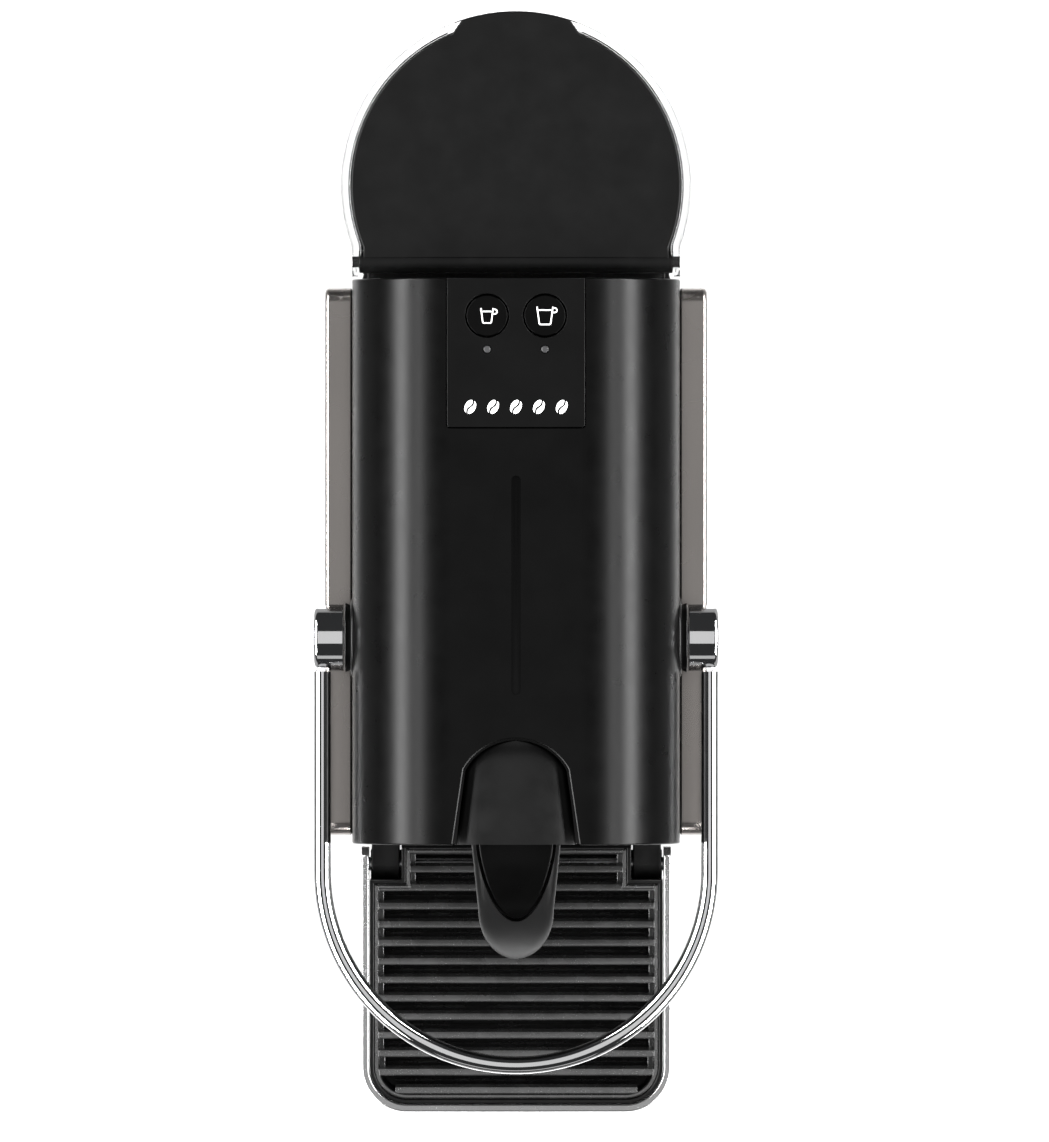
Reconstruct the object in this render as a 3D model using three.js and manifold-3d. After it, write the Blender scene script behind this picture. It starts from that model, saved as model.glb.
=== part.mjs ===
// A single-serve pod coffee machine, standing on its feet: a narrow body under a vaulted cover, a metal
// panel on each side, a clear D-shaped water tank behind, a folding cup tray in front and a U-shaped lever
// that opens the pod slot. Millimetres, +Z up, front towards -Y. The origin is the centre of the footprint.
import * as THREE from "three";
import { mergeVertices } from "three/addons/utils/BufferGeometryUtils.js";
import Module from "manifold-3d";

const wasm = await Module();
wasm.setup();

// ---------------------------------------------------------------- driving dimensions
const seat = 0.3; // gap between two faces that rest on each other
const running = 0.15; // radial clearance of a pin or shaft in its hole

const bodyWidth = 95; // across the cover and the side walls
const bodyLength = 163.5;
const bodyHeight = 235;
const trayReach = 82.8; // cup tray, in front of the body

const footHeight = 3;
const footRadius = 7;
const basePanThickness = 6;
const wallThickness = 2.3;
const endPlateThickness = 2.7;
const coverWall = 2.6;
const shoulderRadius = 30; // the cover's two long rounded edges

const panelThickness = 8; // how far a side panel stands out; it is a hollow shell
const panelWall = 1.6;
const panelBottomZ = 20;
const panelSetback = 2.2; // how far a side panel stops short of the body's ends
const panelCornerRadius = 4.4;

const pivotFromFront = 59.7; // lever pivot, behind the body's front
const pivotBelowShoulder = 4;
const hubRadius = 9.75;
const hubLength = 8.7;
const bushLip = 0.25; // how far the bush's edge shows round the hub
const bushProud = 2.2; // how far the pivot bush stands out of the cover
const shaftRadius = 3.6;
const leverBarWidth = 5;
const leverBarHeight = 8;
const leverStraight = 67.9; // from the pivot to the start of the bend

const leverLift = THREE.MathUtils.degToRad(95);
const crankRadius = 21;
const crankThickness = 4.3;
const crankPinRadius = 2.4;

const slotHalfWidth = 18.4; // pod slot, at the cover's front edge
const slotDepth = 30.8;
const slotArcRadius = 17.4;
const slotArcHalfAngle = THREE.MathUtils.degToRad(61);

const deckTopZ = 169.5;
const deckThickness = 3.5;
const cupRadius = 19;
const cupLength = 32.5;
const cupAboveDeck = 33.5; // the pod chamber's axis
const podMouthRadius = 15.6;
const podBackRadius = 12.4;
const podDepth = 27.5;

const moduleDepth = 73.5; // front plate to the back of the pod bin
const bayWallThickness = 2.4;
const moduleTopZ = 119.6;
const containerTopZ = 118;
const dripBaseHeight = 20;
const binWall = 2;

const bandWidth = 92.5; // cup tray, over the metal band
const bandThickness = 2.1;
const bandBottomZ = 22;
const bandTopZ = 43;
const bandCornerRadius = 13.5;
const trayBottomZ = 20;
const trayWall = 1.2;
const trayAxisZ = 35;
const hingePinRadius = 2;
const hingeBlockWidth = 8.6;
const gridTopZ = 42;
const gridThickness = 4.6;
const slatPitch = 5.52;
const slatWidth = 2.5;

const tankFlank = 8.78; // the straight part of the tank's sides
const tankBulge = 3.1; // how far the round part stands out past the straight one, each side
const tankInset = 0.1; // the tank's sides, inside the body's
const tankWall = 1.8;
const tankFloor = 2.5;
const tankBottomZ = 38.3;
const tankRimZ = 224.4;
const lidThickness = 2.5;
const lidGap = 1.1; // between the lid's edge and the inside of the tank
const lidBarrelRadius = 3.2;
const lidPinRadius = 1.6;
const lidTabHalfWidth = 17.2;
const valveRadius = 5.7;

const keypadHalfWidth = 19.9;
const keypadLength = 43.1;
const keyRadius = 6.05;
const keySpacing = 16.7;
const keyFromBack = 10.9;
const lampRadius = 1.1;
const lampFromKey = 9.7;

// ---------------------------------------------------------------- derived places
const halfWidth = bodyWidth / 2;
const tankHalfWidth = halfWidth - tankInset;
const tankRadius = tankHalfWidth + tankBulge;
const tankFromBody = 2 * seat;
const tankCentreBack = tankFromBody + tankFlank + Math.sqrt(tankRadius ** 2 - tankHalfWidth ** 2);
const tankReach = tankCentreBack + tankRadius;
const depth = trayReach + bodyLength + tankReach;
const frontY = -depth / 2 + trayReach;
const backY = frontY + bodyLength;
const basePanTopZ = footHeight + basePanThickness;
const shoulderZ = bodyHeight - shoulderRadius;
const pivotY = frontY + pivotFromFront;
const pivotZ = shoulderZ - pivotBelowShoulder;
const panelTopZ = pivotZ - hubRadius - 0.75;
const coverBottomZ = panelTopZ - 1;
const wallInnerX = halfWidth - wallThickness;
const insideX = wallInnerX - seat; // half width of what fits between the side walls
const cupAxisZ = deckTopZ + cupAboveDeck;
const stroke = 2 * crankRadius * Math.sin(leverLift / 2);
const crankPinY = pivotY - stroke / 2;
const crankPinZ = pivotZ + crankRadius * Math.cos(leverLift / 2);
const leverHalfWidth = halfWidth + bushProud + seat + hubLength;
const bendRadius = leverHalfWidth - leverBarWidth / 2;
const bushRadius = hubRadius + bushLip;
const tankCentreY = backY + tankCentreBack;
const tankFrontY = backY + tankFromBody;
const bayWallY = frontY + moduleDepth + 1.5;
const bayBackY = bayWallY + bayWallThickness;

// ---------------------------------------------------------------- finishes
const finish = (color, roughness, metalness, more = {}) =>
  new THREE.MeshStandardMaterial({ color, roughness, metalness, ...more });
const finishes = {
  satinBlack: finish(0x18181a, 0.42, 0),
  plainBlack: finish(0x141414, 0.6, 0),
  glossBlack: finish(0x060606, 0.12, 0),
  titanium: finish(0x7f7772, 0.32, 1),
  chrome: finish(0xd8d8da, 0.07, 1),
  bandSilver: finish(0xa2a2a2, 0.35, 0.9),
  steel: finish(0xb4b6ba, 0.3, 1),
  clear: finish(0xf4f7f8, 0.05, 0, { transparent: true, opacity: 0.25 }),
  rubber: finish(0x1b1b1b, 0.85, 0),
  hose: finish(0xe6e3da, 0.5, 0),
  circuit: finish(0x1d5a35, 0.55, 0),
  castAlloy: finish(0xa6a8aa, 0.5, 0.8),
  lampGrey: finish(0x5a5a5a, 0.3, 0),
};

// ---------------------------------------------------------------- solids and outlines
// A closed three.js geometry as a manifold-3d solid.
function solid(geometry) {
  const bare = geometry.index ? geometry.toNonIndexed() : geometry.clone();
  bare.deleteAttribute("normal");
  bare.deleteAttribute("uv");
  const merged = mergeVertices(bare, 1e-4);
  return new wasm.Manifold(
    new wasm.Mesh({
      numProp: 3,
      vertProperties: new Float32Array(merged.attributes.position.array),
      triVerts: new Uint32Array(merged.index.array),
    }),
  );
}

const cut = (body, ...tools) => tools.reduce((rest, tool) => rest.subtract(tool), body);
const join = (body, ...others) => others.reduce((sum, other) => sum.add(other), body);

function geometryOf(body) {
  const mesh = body.getMesh();
  const positions = new Float32Array(mesh.numVert * 3);
  for (let i = 0; i < mesh.numVert; i++) {
    positions.set(mesh.vertProperties.subarray(i * mesh.numProp, i * mesh.numProp + 3), i * 3);
  }
  const geometry = new THREE.BufferGeometry();
  geometry.setAttribute("position", new THREE.BufferAttribute(positions, 3));
  geometry.setIndex(new THREE.BufferAttribute(new Uint32Array(mesh.triVerts), 1));
  geometry.computeVertexNormals();
  return geometry;
}

function place(group, name, body, material) {
  const mesh = new THREE.Mesh(geometryOf(body), material);
  mesh.name = name;
  group.add(mesh);
  return mesh;
}

// Turns the extrusion's own axes so that it runs along X, Y or Z: the outline is drawn in (y, z), (x, z)
// or (x, y), and the prism fills from low to high.
const along = {
  x: (low) => new THREE.Matrix4().set(0, 0, 1, low, 1, 0, 0, 0, 0, 1, 0, 0, 0, 0, 0, 1),
  y: (low, high) => new THREE.Matrix4().set(1, 0, 0, 0, 0, 0, -1, high, 0, 1, 0, 0, 0, 0, 0, 1),
  z: (low) => new THREE.Matrix4().makeTranslation(0, 0, low),
};

function prism(shape, axis, low, high, curveSegments = 10) {
  const geometry = new THREE.ExtrudeGeometry(shape, {
    depth: high - low,
    bevelEnabled: false,
    curveSegments,
  });
  return solid(geometry.applyMatrix4(along[axis](low, high)));
}

function block(x0, x1, y0, y1, z0, z1) {
  const box = new THREE.BoxGeometry(x1 - x0, y1 - y0, z1 - z0);
  return solid(box.translate((x0 + x1) / 2, (y0 + y1) / 2, (z0 + z1) / 2));
}

// A cylinder, or a cone if it has two radii; a and b are its centre across the axis.
function rod(axis, a, b, low, high, radius, sides = 24, endRadius = radius) {
  const bar = new THREE.CylinderGeometry(endRadius, radius, high - low, sides);
  const middle = (low + high) / 2;
  if (axis === "x") bar.rotateZ(-Math.PI / 2).translate(middle, a, b);
  if (axis === "y") bar.translate(a, middle, b);
  if (axis === "z") bar.rotateX(Math.PI / 2).translate(a, b, middle);
  return solid(bar);
}

// A rectangle whose four corners have the given radius.
function roundedBox(a0, a1, b0, b1, radius) {
  const shape = new THREE.Shape();
  shape.moveTo(a0 + radius, b0);
  shape.lineTo(a1 - radius, b0);
  shape.absarc(a1 - radius, b0 + radius, radius, -Math.PI / 2, 0, false);
  shape.lineTo(a1, b1 - radius);
  shape.absarc(a1 - radius, b1 - radius, radius, 0, Math.PI / 2, false);
  shape.lineTo(a0 + radius, b1);
  shape.absarc(a0 + radius, b1 - radius, radius, Math.PI / 2, Math.PI, false);
  shape.lineTo(a0, b0 + radius);
  shape.absarc(a0 + radius, b0 + radius, radius, Math.PI, 1.5 * Math.PI, false);
  return shape;
}

// The vaulted section, in (x, z), drawn the given distance inside the cover's outer face.
function vault(inset, bottomZ) {
  const half = halfWidth - inset;
  const top = bodyHeight - inset;
  const radius = shoulderRadius - inset;
  const shape = new THREE.Shape();
  shape.moveTo(-half, bottomZ);
  shape.lineTo(half, bottomZ);
  shape.absarc(half - radius, top - radius, radius, 0, Math.PI / 2, false);
  shape.absarc(radius - half, top - radius, radius, Math.PI / 2, Math.PI, false);
  shape.lineTo(-half, bottomZ);
  return shape;
}

// The tank's D, in (x, y), drawn the given distance inside its outer face.
function tankOutline(inset, front) {
  const radius = tankRadius - inset;
  const half = tankHalfWidth - inset;
  const start = -Math.acos(half / radius);
  const shape = new THREE.Shape();
  shape.moveTo(half, front);
  shape.absarc(0, tankCentreY, radius, start, Math.PI - start, false);
  shape.lineTo(-half, front);
  shape.lineTo(half, front);
  return shape;
}

// The pod slot's arch, in (x, y), grown outwards by the given distance and run on past its front edge.
function slotArch(grow, front) {
  const radius = slotArcRadius + grow;
  const arcY = frontY + slotDepth - slotArcRadius;
  const shape = new THREE.Shape();
  shape.moveTo(-slotHalfWidth - grow, front);
  shape.lineTo(slotHalfWidth + grow, front);
  const start = Math.PI / 2 - slotArcHalfAngle;
  shape.absarc(0, arcY, radius, start, Math.PI - start, false);
  shape.lineTo(-slotHalfWidth - grow, front);
  return shape;
}

// A round hose along a smooth curve through the given points.
function hose(points, radius, steps) {
  const path = new THREE.CatmullRomCurve3(points.map((p) => new THREE.Vector3(...p)));
  const section = new THREE.Shape().absarc(0, 0, radius, 0, 2 * Math.PI, false);
  const options = { steps, curveSegments: 4, bevelEnabled: false, extrudePath: path };
  return solid(new THREE.ExtrudeGeometry(section, options));
}

const sides = [
  { side: -1, word: "left" },
  { side: 1, word: "right" },
];
// A block that runs from the inner to the outer distance from the middle, on one side.
const sideBlock = (side, inner, outer, ...rest) =>
  block(Math.min(side * inner, side * outer), Math.max(side * inner, side * outer), ...rest);
const sideRod = (side, y, z, inner, outer, ...rest) =>
  rod("x", y, z, Math.min(side * inner, side * outer), Math.max(side * inner, side * outer), ...rest);

const machine = new THREE.Group();

// ---------------------------------------------------------------- base, feet and screws
const basePlace = { front: frontY + 2.5, screwX: halfWidth - 9, footX: halfWidth - 12 };
const screwYs = [bayBackY + 14.6, backY - 14]; // both behind the pull-out module
const bossHeight = 11.5;
const screwGrip = 3; // how far a screw reaches into its boss
const tankBaseInset = 1.5; // the base's D, inside the tank's
const screwHeadRadius = 3;
const screwShankRadius = 1.6;

function basePanOutline(inset) {
  const front = basePlace.front + inset;
  const half = halfWidth - inset;
  const radius = tankRadius - tankBaseInset - inset;
  const rearHalf = tankHalfWidth - tankBaseInset - inset;
  const start = -Math.acos(rearHalf / radius);
  const shape = new THREE.Shape();
  shape.moveTo(-half, front);
  shape.lineTo(half, front);
  shape.lineTo(half, backY - seat);
  shape.lineTo(rearHalf, backY - seat);
  shape.absarc(0, tankCentreY, radius, start, Math.PI - start, false);
  shape.lineTo(-rearHalf, backY - seat);
  shape.lineTo(-half, backY - seat);
  shape.lineTo(-half, front);
  return shape;
}

function makeBase(group) {
  let pan = prism(basePanOutline(0), "z", footHeight, basePanTopZ, 20);
  const headDepth = 2.7;
  let number = 0;
  for (const { side } of sides) {
    for (const y of screwYs) {
      const x = side * basePlace.screwX;
      const hole = rod("z", x, y, footHeight - 1, basePanTopZ + 1, screwShankRadius + seat, 12);
      const recessTop = footHeight + headDepth + seat;
      const recess = rod("z", x, y, footHeight - 1, recessTop, screwHeadRadius + seat, 16);
      pan = cut(pan, hole, recess);
      const head = rod("z", x, y, footHeight + seat, recessTop - seat, screwHeadRadius, 16);
      const shank = rod("z", x, y, footHeight + seat, basePanTopZ + screwGrip, screwShankRadius, 10);
      const cross = block(x - 2, x + 2, y - 0.4, y + 0.4, footHeight, footHeight + 1.3);
      number += 1;
      place(group, `base_screw_${number}`, cut(join(head, shank), cross), finishes.steel);
    }
  }
  place(group, "base_pan", pan, finishes.plainBlack);

  const feet = [
    ["front_left_foot", -basePlace.footX, frontY + 16],
    ["front_right_foot", basePlace.footX, frontY + 16],
    ["rear_left_foot", -basePlace.footX + 5, tankCentreY + 20],
    ["rear_right_foot", basePlace.footX - 5, tankCentreY + 20],
  ];
  for (const [name, x, y] of feet) {
    const foot = rod("z", x, y, 0, footHeight - seat, footRadius - 0.6, 20, footRadius);
    place(group, name, foot, finishes.rubber);
  }
}

// ---------------------------------------------------------------- side walls, ends, deck and cover
const hoseRadius = 3.2;
const lowHoseZ = 20;
const hoseHoleRadius = hoseRadius + 0.8;
const heaterFrontY = bayBackY + 11.6;
const boilerNipple = { x: -25, y: heaterFrontY + 20 };

function makeBody(group) {
  const bossHoleRadius = screwShankRadius + seat;
  for (const { side, word } of sides) {
    const wall = sideBlock(side, wallInnerX, halfWidth, frontY, backY - seat, basePanTopZ + seat,
      coverBottomZ - seat);
    const bosses = screwYs.map((y) => {
      const x = side * basePlace.screwX;
      const low = basePanTopZ + seat;
      const web = sideBlock(side, basePlace.screwX, wallInnerX + 0.5, y - 1.5, y + 1.5, low,
        low + bossHeight);
      const post = join(rod("z", x, y, low, low + bossHeight, 4, 12), web);
      return cut(post, rod("z", x, y, low - 1, low + screwGrip + seat, bossHoleRadius, 10));
    });
    place(group, `${word}_wall`, join(wall, ...bosses), finishes.plainBlack);

    const outer = halfWidth + panelThickness;
    const outline = (inset) => roundedBox(frontY + panelSetback + inset, backY - panelSetback - inset,
      panelBottomZ + inset, panelTopZ - inset, panelCornerRadius - inset);
    const low = side < 0 ? -outer : halfWidth + seat;
    const hollowLow = side < 0 ? low + panelWall : low - 1;
    const hollowHigh = side < 0 ? 1 - halfWidth : outer - panelWall;
    const panel = cut(
      prism(outline(0), "x", low, low + panelThickness - seat, 5),
      prism(outline(panelWall), "x", hollowLow, hollowHigh, 4),
    );
    place(group, `${word}_side_panel`, panel, finishes.titanium);
  }

  // The back of the body: it closes the walls and, above them, the end of the vault.
  const plateBack = backY - seat;
  const rearLow = block(-insideX, insideX, plateBack - endPlateThickness, plateBack,
    basePanTopZ + seat, coverBottomZ - seat);
  const rearHigh = prism(vault(coverWall + seat, coverBottomZ - 6), "y",
    plateBack - endPlateThickness, plateBack, 9);
  const hoseHole = rod("y", 0, lowHoseZ, plateBack - 9, plateBack + 9, hoseHoleRadius, 16);
  place(group, "rear_bulkhead", cut(join(rearLow, rearHigh), hoseHole), finishes.plainBlack);

  // The wall between the pod bay and the electrical bay, and the deck across both.
  place(group, "bay_wall", block(-insideX, insideX, bayWallY, bayBackY, basePanTopZ + seat,
    deckTopZ - deckThickness - seat), finishes.plainBlack);
  const deck = block(-insideX, insideX, frontY + endPlateThickness + seat,
    plateBack - endPlateThickness - seat, deckTopZ - deckThickness, deckTopZ);
  const dropHole = block(-cupRadius, cupRadius, frontY + 7, frontY + 39,
    deckTopZ - deckThickness - 1, deckTopZ + 1);
  const nippleHole = rod("z", boilerNipple.x, boilerNipple.y, deckTopZ - 9, deckTopZ + 1, 4, 16);
  const chuteTop = deckTopZ - deckThickness;
  const chute = cut(
    block(-cupRadius - 2, cupRadius + 2, frontY + 5, frontY + 41, moduleTopZ + 1.5, chuteTop + 1),
    block(-cupRadius, cupRadius, frontY + 7, frontY + 39, moduleTopZ, chuteTop + 2),
  );
  place(group, "brew_deck", join(cut(deck, dropHole, nippleHole), chute), finishes.plainBlack);

  place(group, "top_cover", makeCover(), finishes.satinBlack);
  place(group, "front_fascia", makeFascia(), finishes.satinBlack);
}

// The vaulted shell over the whole body, with the pod slot, the keypad's place and the sight groove.
const grooveHalfWidth = 1.35;
const grooveDepth = 1.2;
const grooveFrontY = frontY + 43.3;
const grooveBackY = backY - keypadLength - 13.9;

function makeCover() {
  const shell = cut(
    prism(vault(0, coverBottomZ), "y", frontY, backY, 12),
    prism(vault(coverWall, coverBottomZ - 1), "y", frontY - 1, backY + 1, 12),
  );
  const slot = prism(slotArch(0, frontY - 2), "z", shoulderZ + 10, bodyHeight + 1, 8);
  const keypadHole = block(-keypadHalfWidth - seat, keypadHalfWidth + seat,
    backY - keypadLength - seat, backY + 1, shoulderZ + 10, bodyHeight + 1);
  const groove = new THREE.Shape([
    new THREE.Vector2(grooveFrontY, bodyHeight),
    new THREE.Vector2(grooveBackY, bodyHeight - grooveDepth),
    new THREE.Vector2(grooveBackY, bodyHeight + 1),
    new THREE.Vector2(grooveFrontY, bodyHeight + 1),
  ]);
  const grooveTool = prism(groove, "x", -grooveHalfWidth, grooveHalfWidth);
  const bushHole = rod("x", pivotY, pivotZ, -halfWidth - 2, halfWidth + 2, bushRadius + seat, 28);
  return cut(shell, slot, keypadHole, grooveTool, bushHole);
}

// The upright plate that closes the front of the vault and carries the coffee spout.
const fasciaBottomZ = moduleTopZ + 0.6;
const shutterThickness = 4.6;
const shutterTopZ = bodyHeight - coverWall - 0.5;
const outletZ = deckTopZ + 6.5;
const outletRadius = 3.6;

function makeFascia() {
  const low = block(-insideX, insideX, frontY, frontY + endPlateThickness, fasciaBottomZ,
    coverBottomZ - seat);
  const high = prism(vault(coverWall + seat, coverBottomZ - 6), "y", frontY,
    frontY + endPlateThickness, 9);
  const shutterGap = block(-slotHalfWidth - 3, slotHalfWidth + 3, frontY - 1,
    frontY + endPlateThickness + 1, shutterTopZ - shutterThickness - seat, bodyHeight);
  const outletHole = rod("y", 0, outletZ, frontY - 1, frontY + endPlateThickness + 1,
    outletRadius + seat, 16);
  return cut(join(low, high), shutterGap, outletHole);
}

// ---------------------------------------------------------------- keypad on top of the cover
const keypadThickness = coverWall;
const keyTopZ = bodyHeight - 0.45;
const keyTravel = 1;
const boardTopZ = bodyHeight - 12;

function makeKeypad(group) {
  const keyY = backY - keyFromBack;
  const lampY = keyY - lampFromKey;
  const low = bodyHeight - keypadThickness;
  let plate = block(-keypadHalfWidth, keypadHalfWidth, backY - keypadLength, backY, low,
    bodyHeight - 0.1);
  plate = plate.intersect(prism(vault(0.1, coverBottomZ), "y", frontY, backY + 1, 12));
  // Four posts reach down to the circuit board.
  for (const { side } of sides) {
    for (const y of [keyY - 28, backY - 6.5]) {
      const x = side * (keypadHalfWidth - 3.4);
      plate = join(plate, rod("z", x, y, boardTopZ + seat, low + 0.5, 2, 10));
    }
    const x = (side * keySpacing) / 2;
    plate = cut(plate, rod("z", x, keyY, low - 1, bodyHeight + 1, keyRadius + 0.3, 28));
    plate = cut(plate, rod("z", x, lampY, low - 1, bodyHeight + 1, lampRadius + 0.15, 14));
  }
  place(group, "keypad_plate", plate, finishes.glossBlack);

  let board = block(-keypadHalfWidth + 1, keypadHalfWidth - 1, backY - keypadLength + 2, backY - 3.5,
    boardTopZ - 1.6, boardTopZ);
  const words = { "-1": "espresso", 1: "lungo" };
  for (const { side } of sides) {
    const x = (side * keySpacing) / 2;
    const switchTop = keyTopZ - 5.2 - keyTravel - 0.3;
    board = join(board, block(x - 3, x + 3, keyY - 3, keyY + 3, boardTopZ - 0.5, switchTop));
    board = join(board, rod("z", x, lampY, boardTopZ - 0.5, low - 3.2, 1.4, 10));
    const cap = join(
      rod("z", x, keyY, keyTopZ - 3.4, keyTopZ, keyRadius, 28),
      rod("z", x, keyY, keyTopZ - 5.2, keyTopZ - 3, keyRadius + 1, 28),
    );
    place(group, `${words[side]}_key`, cap, finishes.glossBlack);
    const lamp = rod("z", x, lampY, low - 2.9, bodyHeight - 0.2, lampRadius, 14);
    place(group, `${words[side]}_lamp`, lamp, finishes.lampGrey);
  }
  place(group, "keypad_board", board, finishes.circuit);
}

// ---------------------------------------------------------------- lever, its hubs, bushes, shafts and cranks
const frameInnerX = 32.5;
const frameOuterX = 35.5;
const crankInnerX = frameInnerX - 2 - crankThickness;
const earOuterX = crankInnerX - 0.8;
const earThickness = 3.2;
const earInnerX = earOuterX - earThickness;

// The lever's centreline: forward from one hub, round the bend and back to the other, in its own frame.
class LeverLine extends THREE.Curve {
  getPoint(t, target = new THREE.Vector3()) {
    const bend = Math.PI * bendRadius;
    const s = t * (2 * leverStraight + bend);
    if (s <= leverStraight) return target.set(-bendRadius, -s, 0);
    if (s >= leverStraight + bend) {
      return target.set(bendRadius, s - bend - 2 * leverStraight, 0);
    }
    const angle = (s - leverStraight) / bendRadius;
    return target.set(-bendRadius * Math.cos(angle), -leverStraight - bendRadius * Math.sin(angle), 0);
  }
}

function leverSection() {
  const r = leverBarWidth / 2;
  const reach = leverBarHeight / 2 - r;
  const shape = new THREE.Shape();
  shape.moveTo(-reach, -r);
  shape.lineTo(reach, -r);
  shape.absarc(reach, 0, r, -Math.PI / 2, Math.PI / 2, false);
  shape.absarc(-reach, 0, r, Math.PI / 2, 1.5 * Math.PI, false);
  return shape;
}

function makeLever(group) {
  const pivot = new THREE.Group();
  pivot.position.set(0, pivotY, pivotZ);
  group.add(pivot);

  const bar = solid(new THREE.ExtrudeGeometry(leverSection(), {
    steps: 50, curveSegments: 2, bevelEnabled: false, extrudePath: new LeverLine(),
  }));
  const clearOfHubs = rod("x", 0, 0, -leverHalfWidth - 9, leverHalfWidth + 9, hubRadius + seat, 40);
  place(pivot, "lever_handle", cut(bar, clearOfHubs), finishes.chrome);

  const hubInnerX = halfWidth + bushProud + seat;
  const boreEnd = leverHalfWidth - 1.6;
  for (const { side, word } of sides) {
    const rim = 1.2;
    let hub = sideRod(side, 0, 0, hubInnerX, leverHalfWidth - rim, hubRadius, 36);
    const taper = side < 0
      ? rod("x", 0, 0, -leverHalfWidth, rim - leverHalfWidth, hubRadius - rim, 36, hubRadius)
      : rod("x", 0, 0, leverHalfWidth - rim, leverHalfWidth, hubRadius, 36, hubRadius - rim);
    hub = join(hub, taper);
    const bore = sideRod(side, 0, 0, hubInnerX - 1, boreEnd, shaftRadius + running, 18);
    place(pivot, `${word}_lever_hub`, cut(hub, bore), finishes.chrome);

    const shaft = sideRod(side, 0, 0, crankInnerX, boreEnd - seat, shaftRadius, 18);
    const pinY = -crankRadius * Math.sin(leverLift / 2);
    const pinZ = crankRadius * Math.cos(leverLift / 2);
    const crankOuterX = crankInnerX + crankThickness;
    const arm = armBetween(side, crankInnerX, crankOuterX, pinY, pinZ, 7, 4.6);
    const pin = sideRod(side, pinY, pinZ, earInnerX + 0.4, crankInnerX + 0.5, crankPinRadius, 14);
    place(pivot, `${word}_crankshaft`, join(shaft, arm, pin), finishes.steel);
  }

  for (const { side, word } of sides) {
    const outerX = halfWidth + bushProud;
    const bush = cut(
      sideRod(side, pivotY, pivotZ, frameOuterX + seat, outerX, bushRadius, 28),
      sideRod(side, pivotY, pivotZ, frameOuterX - 1, outerX + 1, shaftRadius + running, 18),
    );
    place(group, `${word}_pivot_bush`, bush, finishes.plainBlack);
  }
}

// A flat arm from a round hub at the origin to a round end at (y, z), between two distances from the middle.
function armBetween(side, inner, outer, y, z, hubR, endR) {
  const length = Math.hypot(y, z);
  const turn = Math.atan2(z, y);
  const lean = Math.acos((hubR - endR) / length);
  const shape = new THREE.Shape();
  shape.absarc(0, 0, hubR, turn + lean, turn - lean + 2 * Math.PI, false);
  shape.absarc(y, z, endR, turn - lean, turn + lean, false);
  const low = Math.min(side * inner, side * outer);
  return prism(shape, "x", low, low + outer - inner, 8);
}

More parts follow.
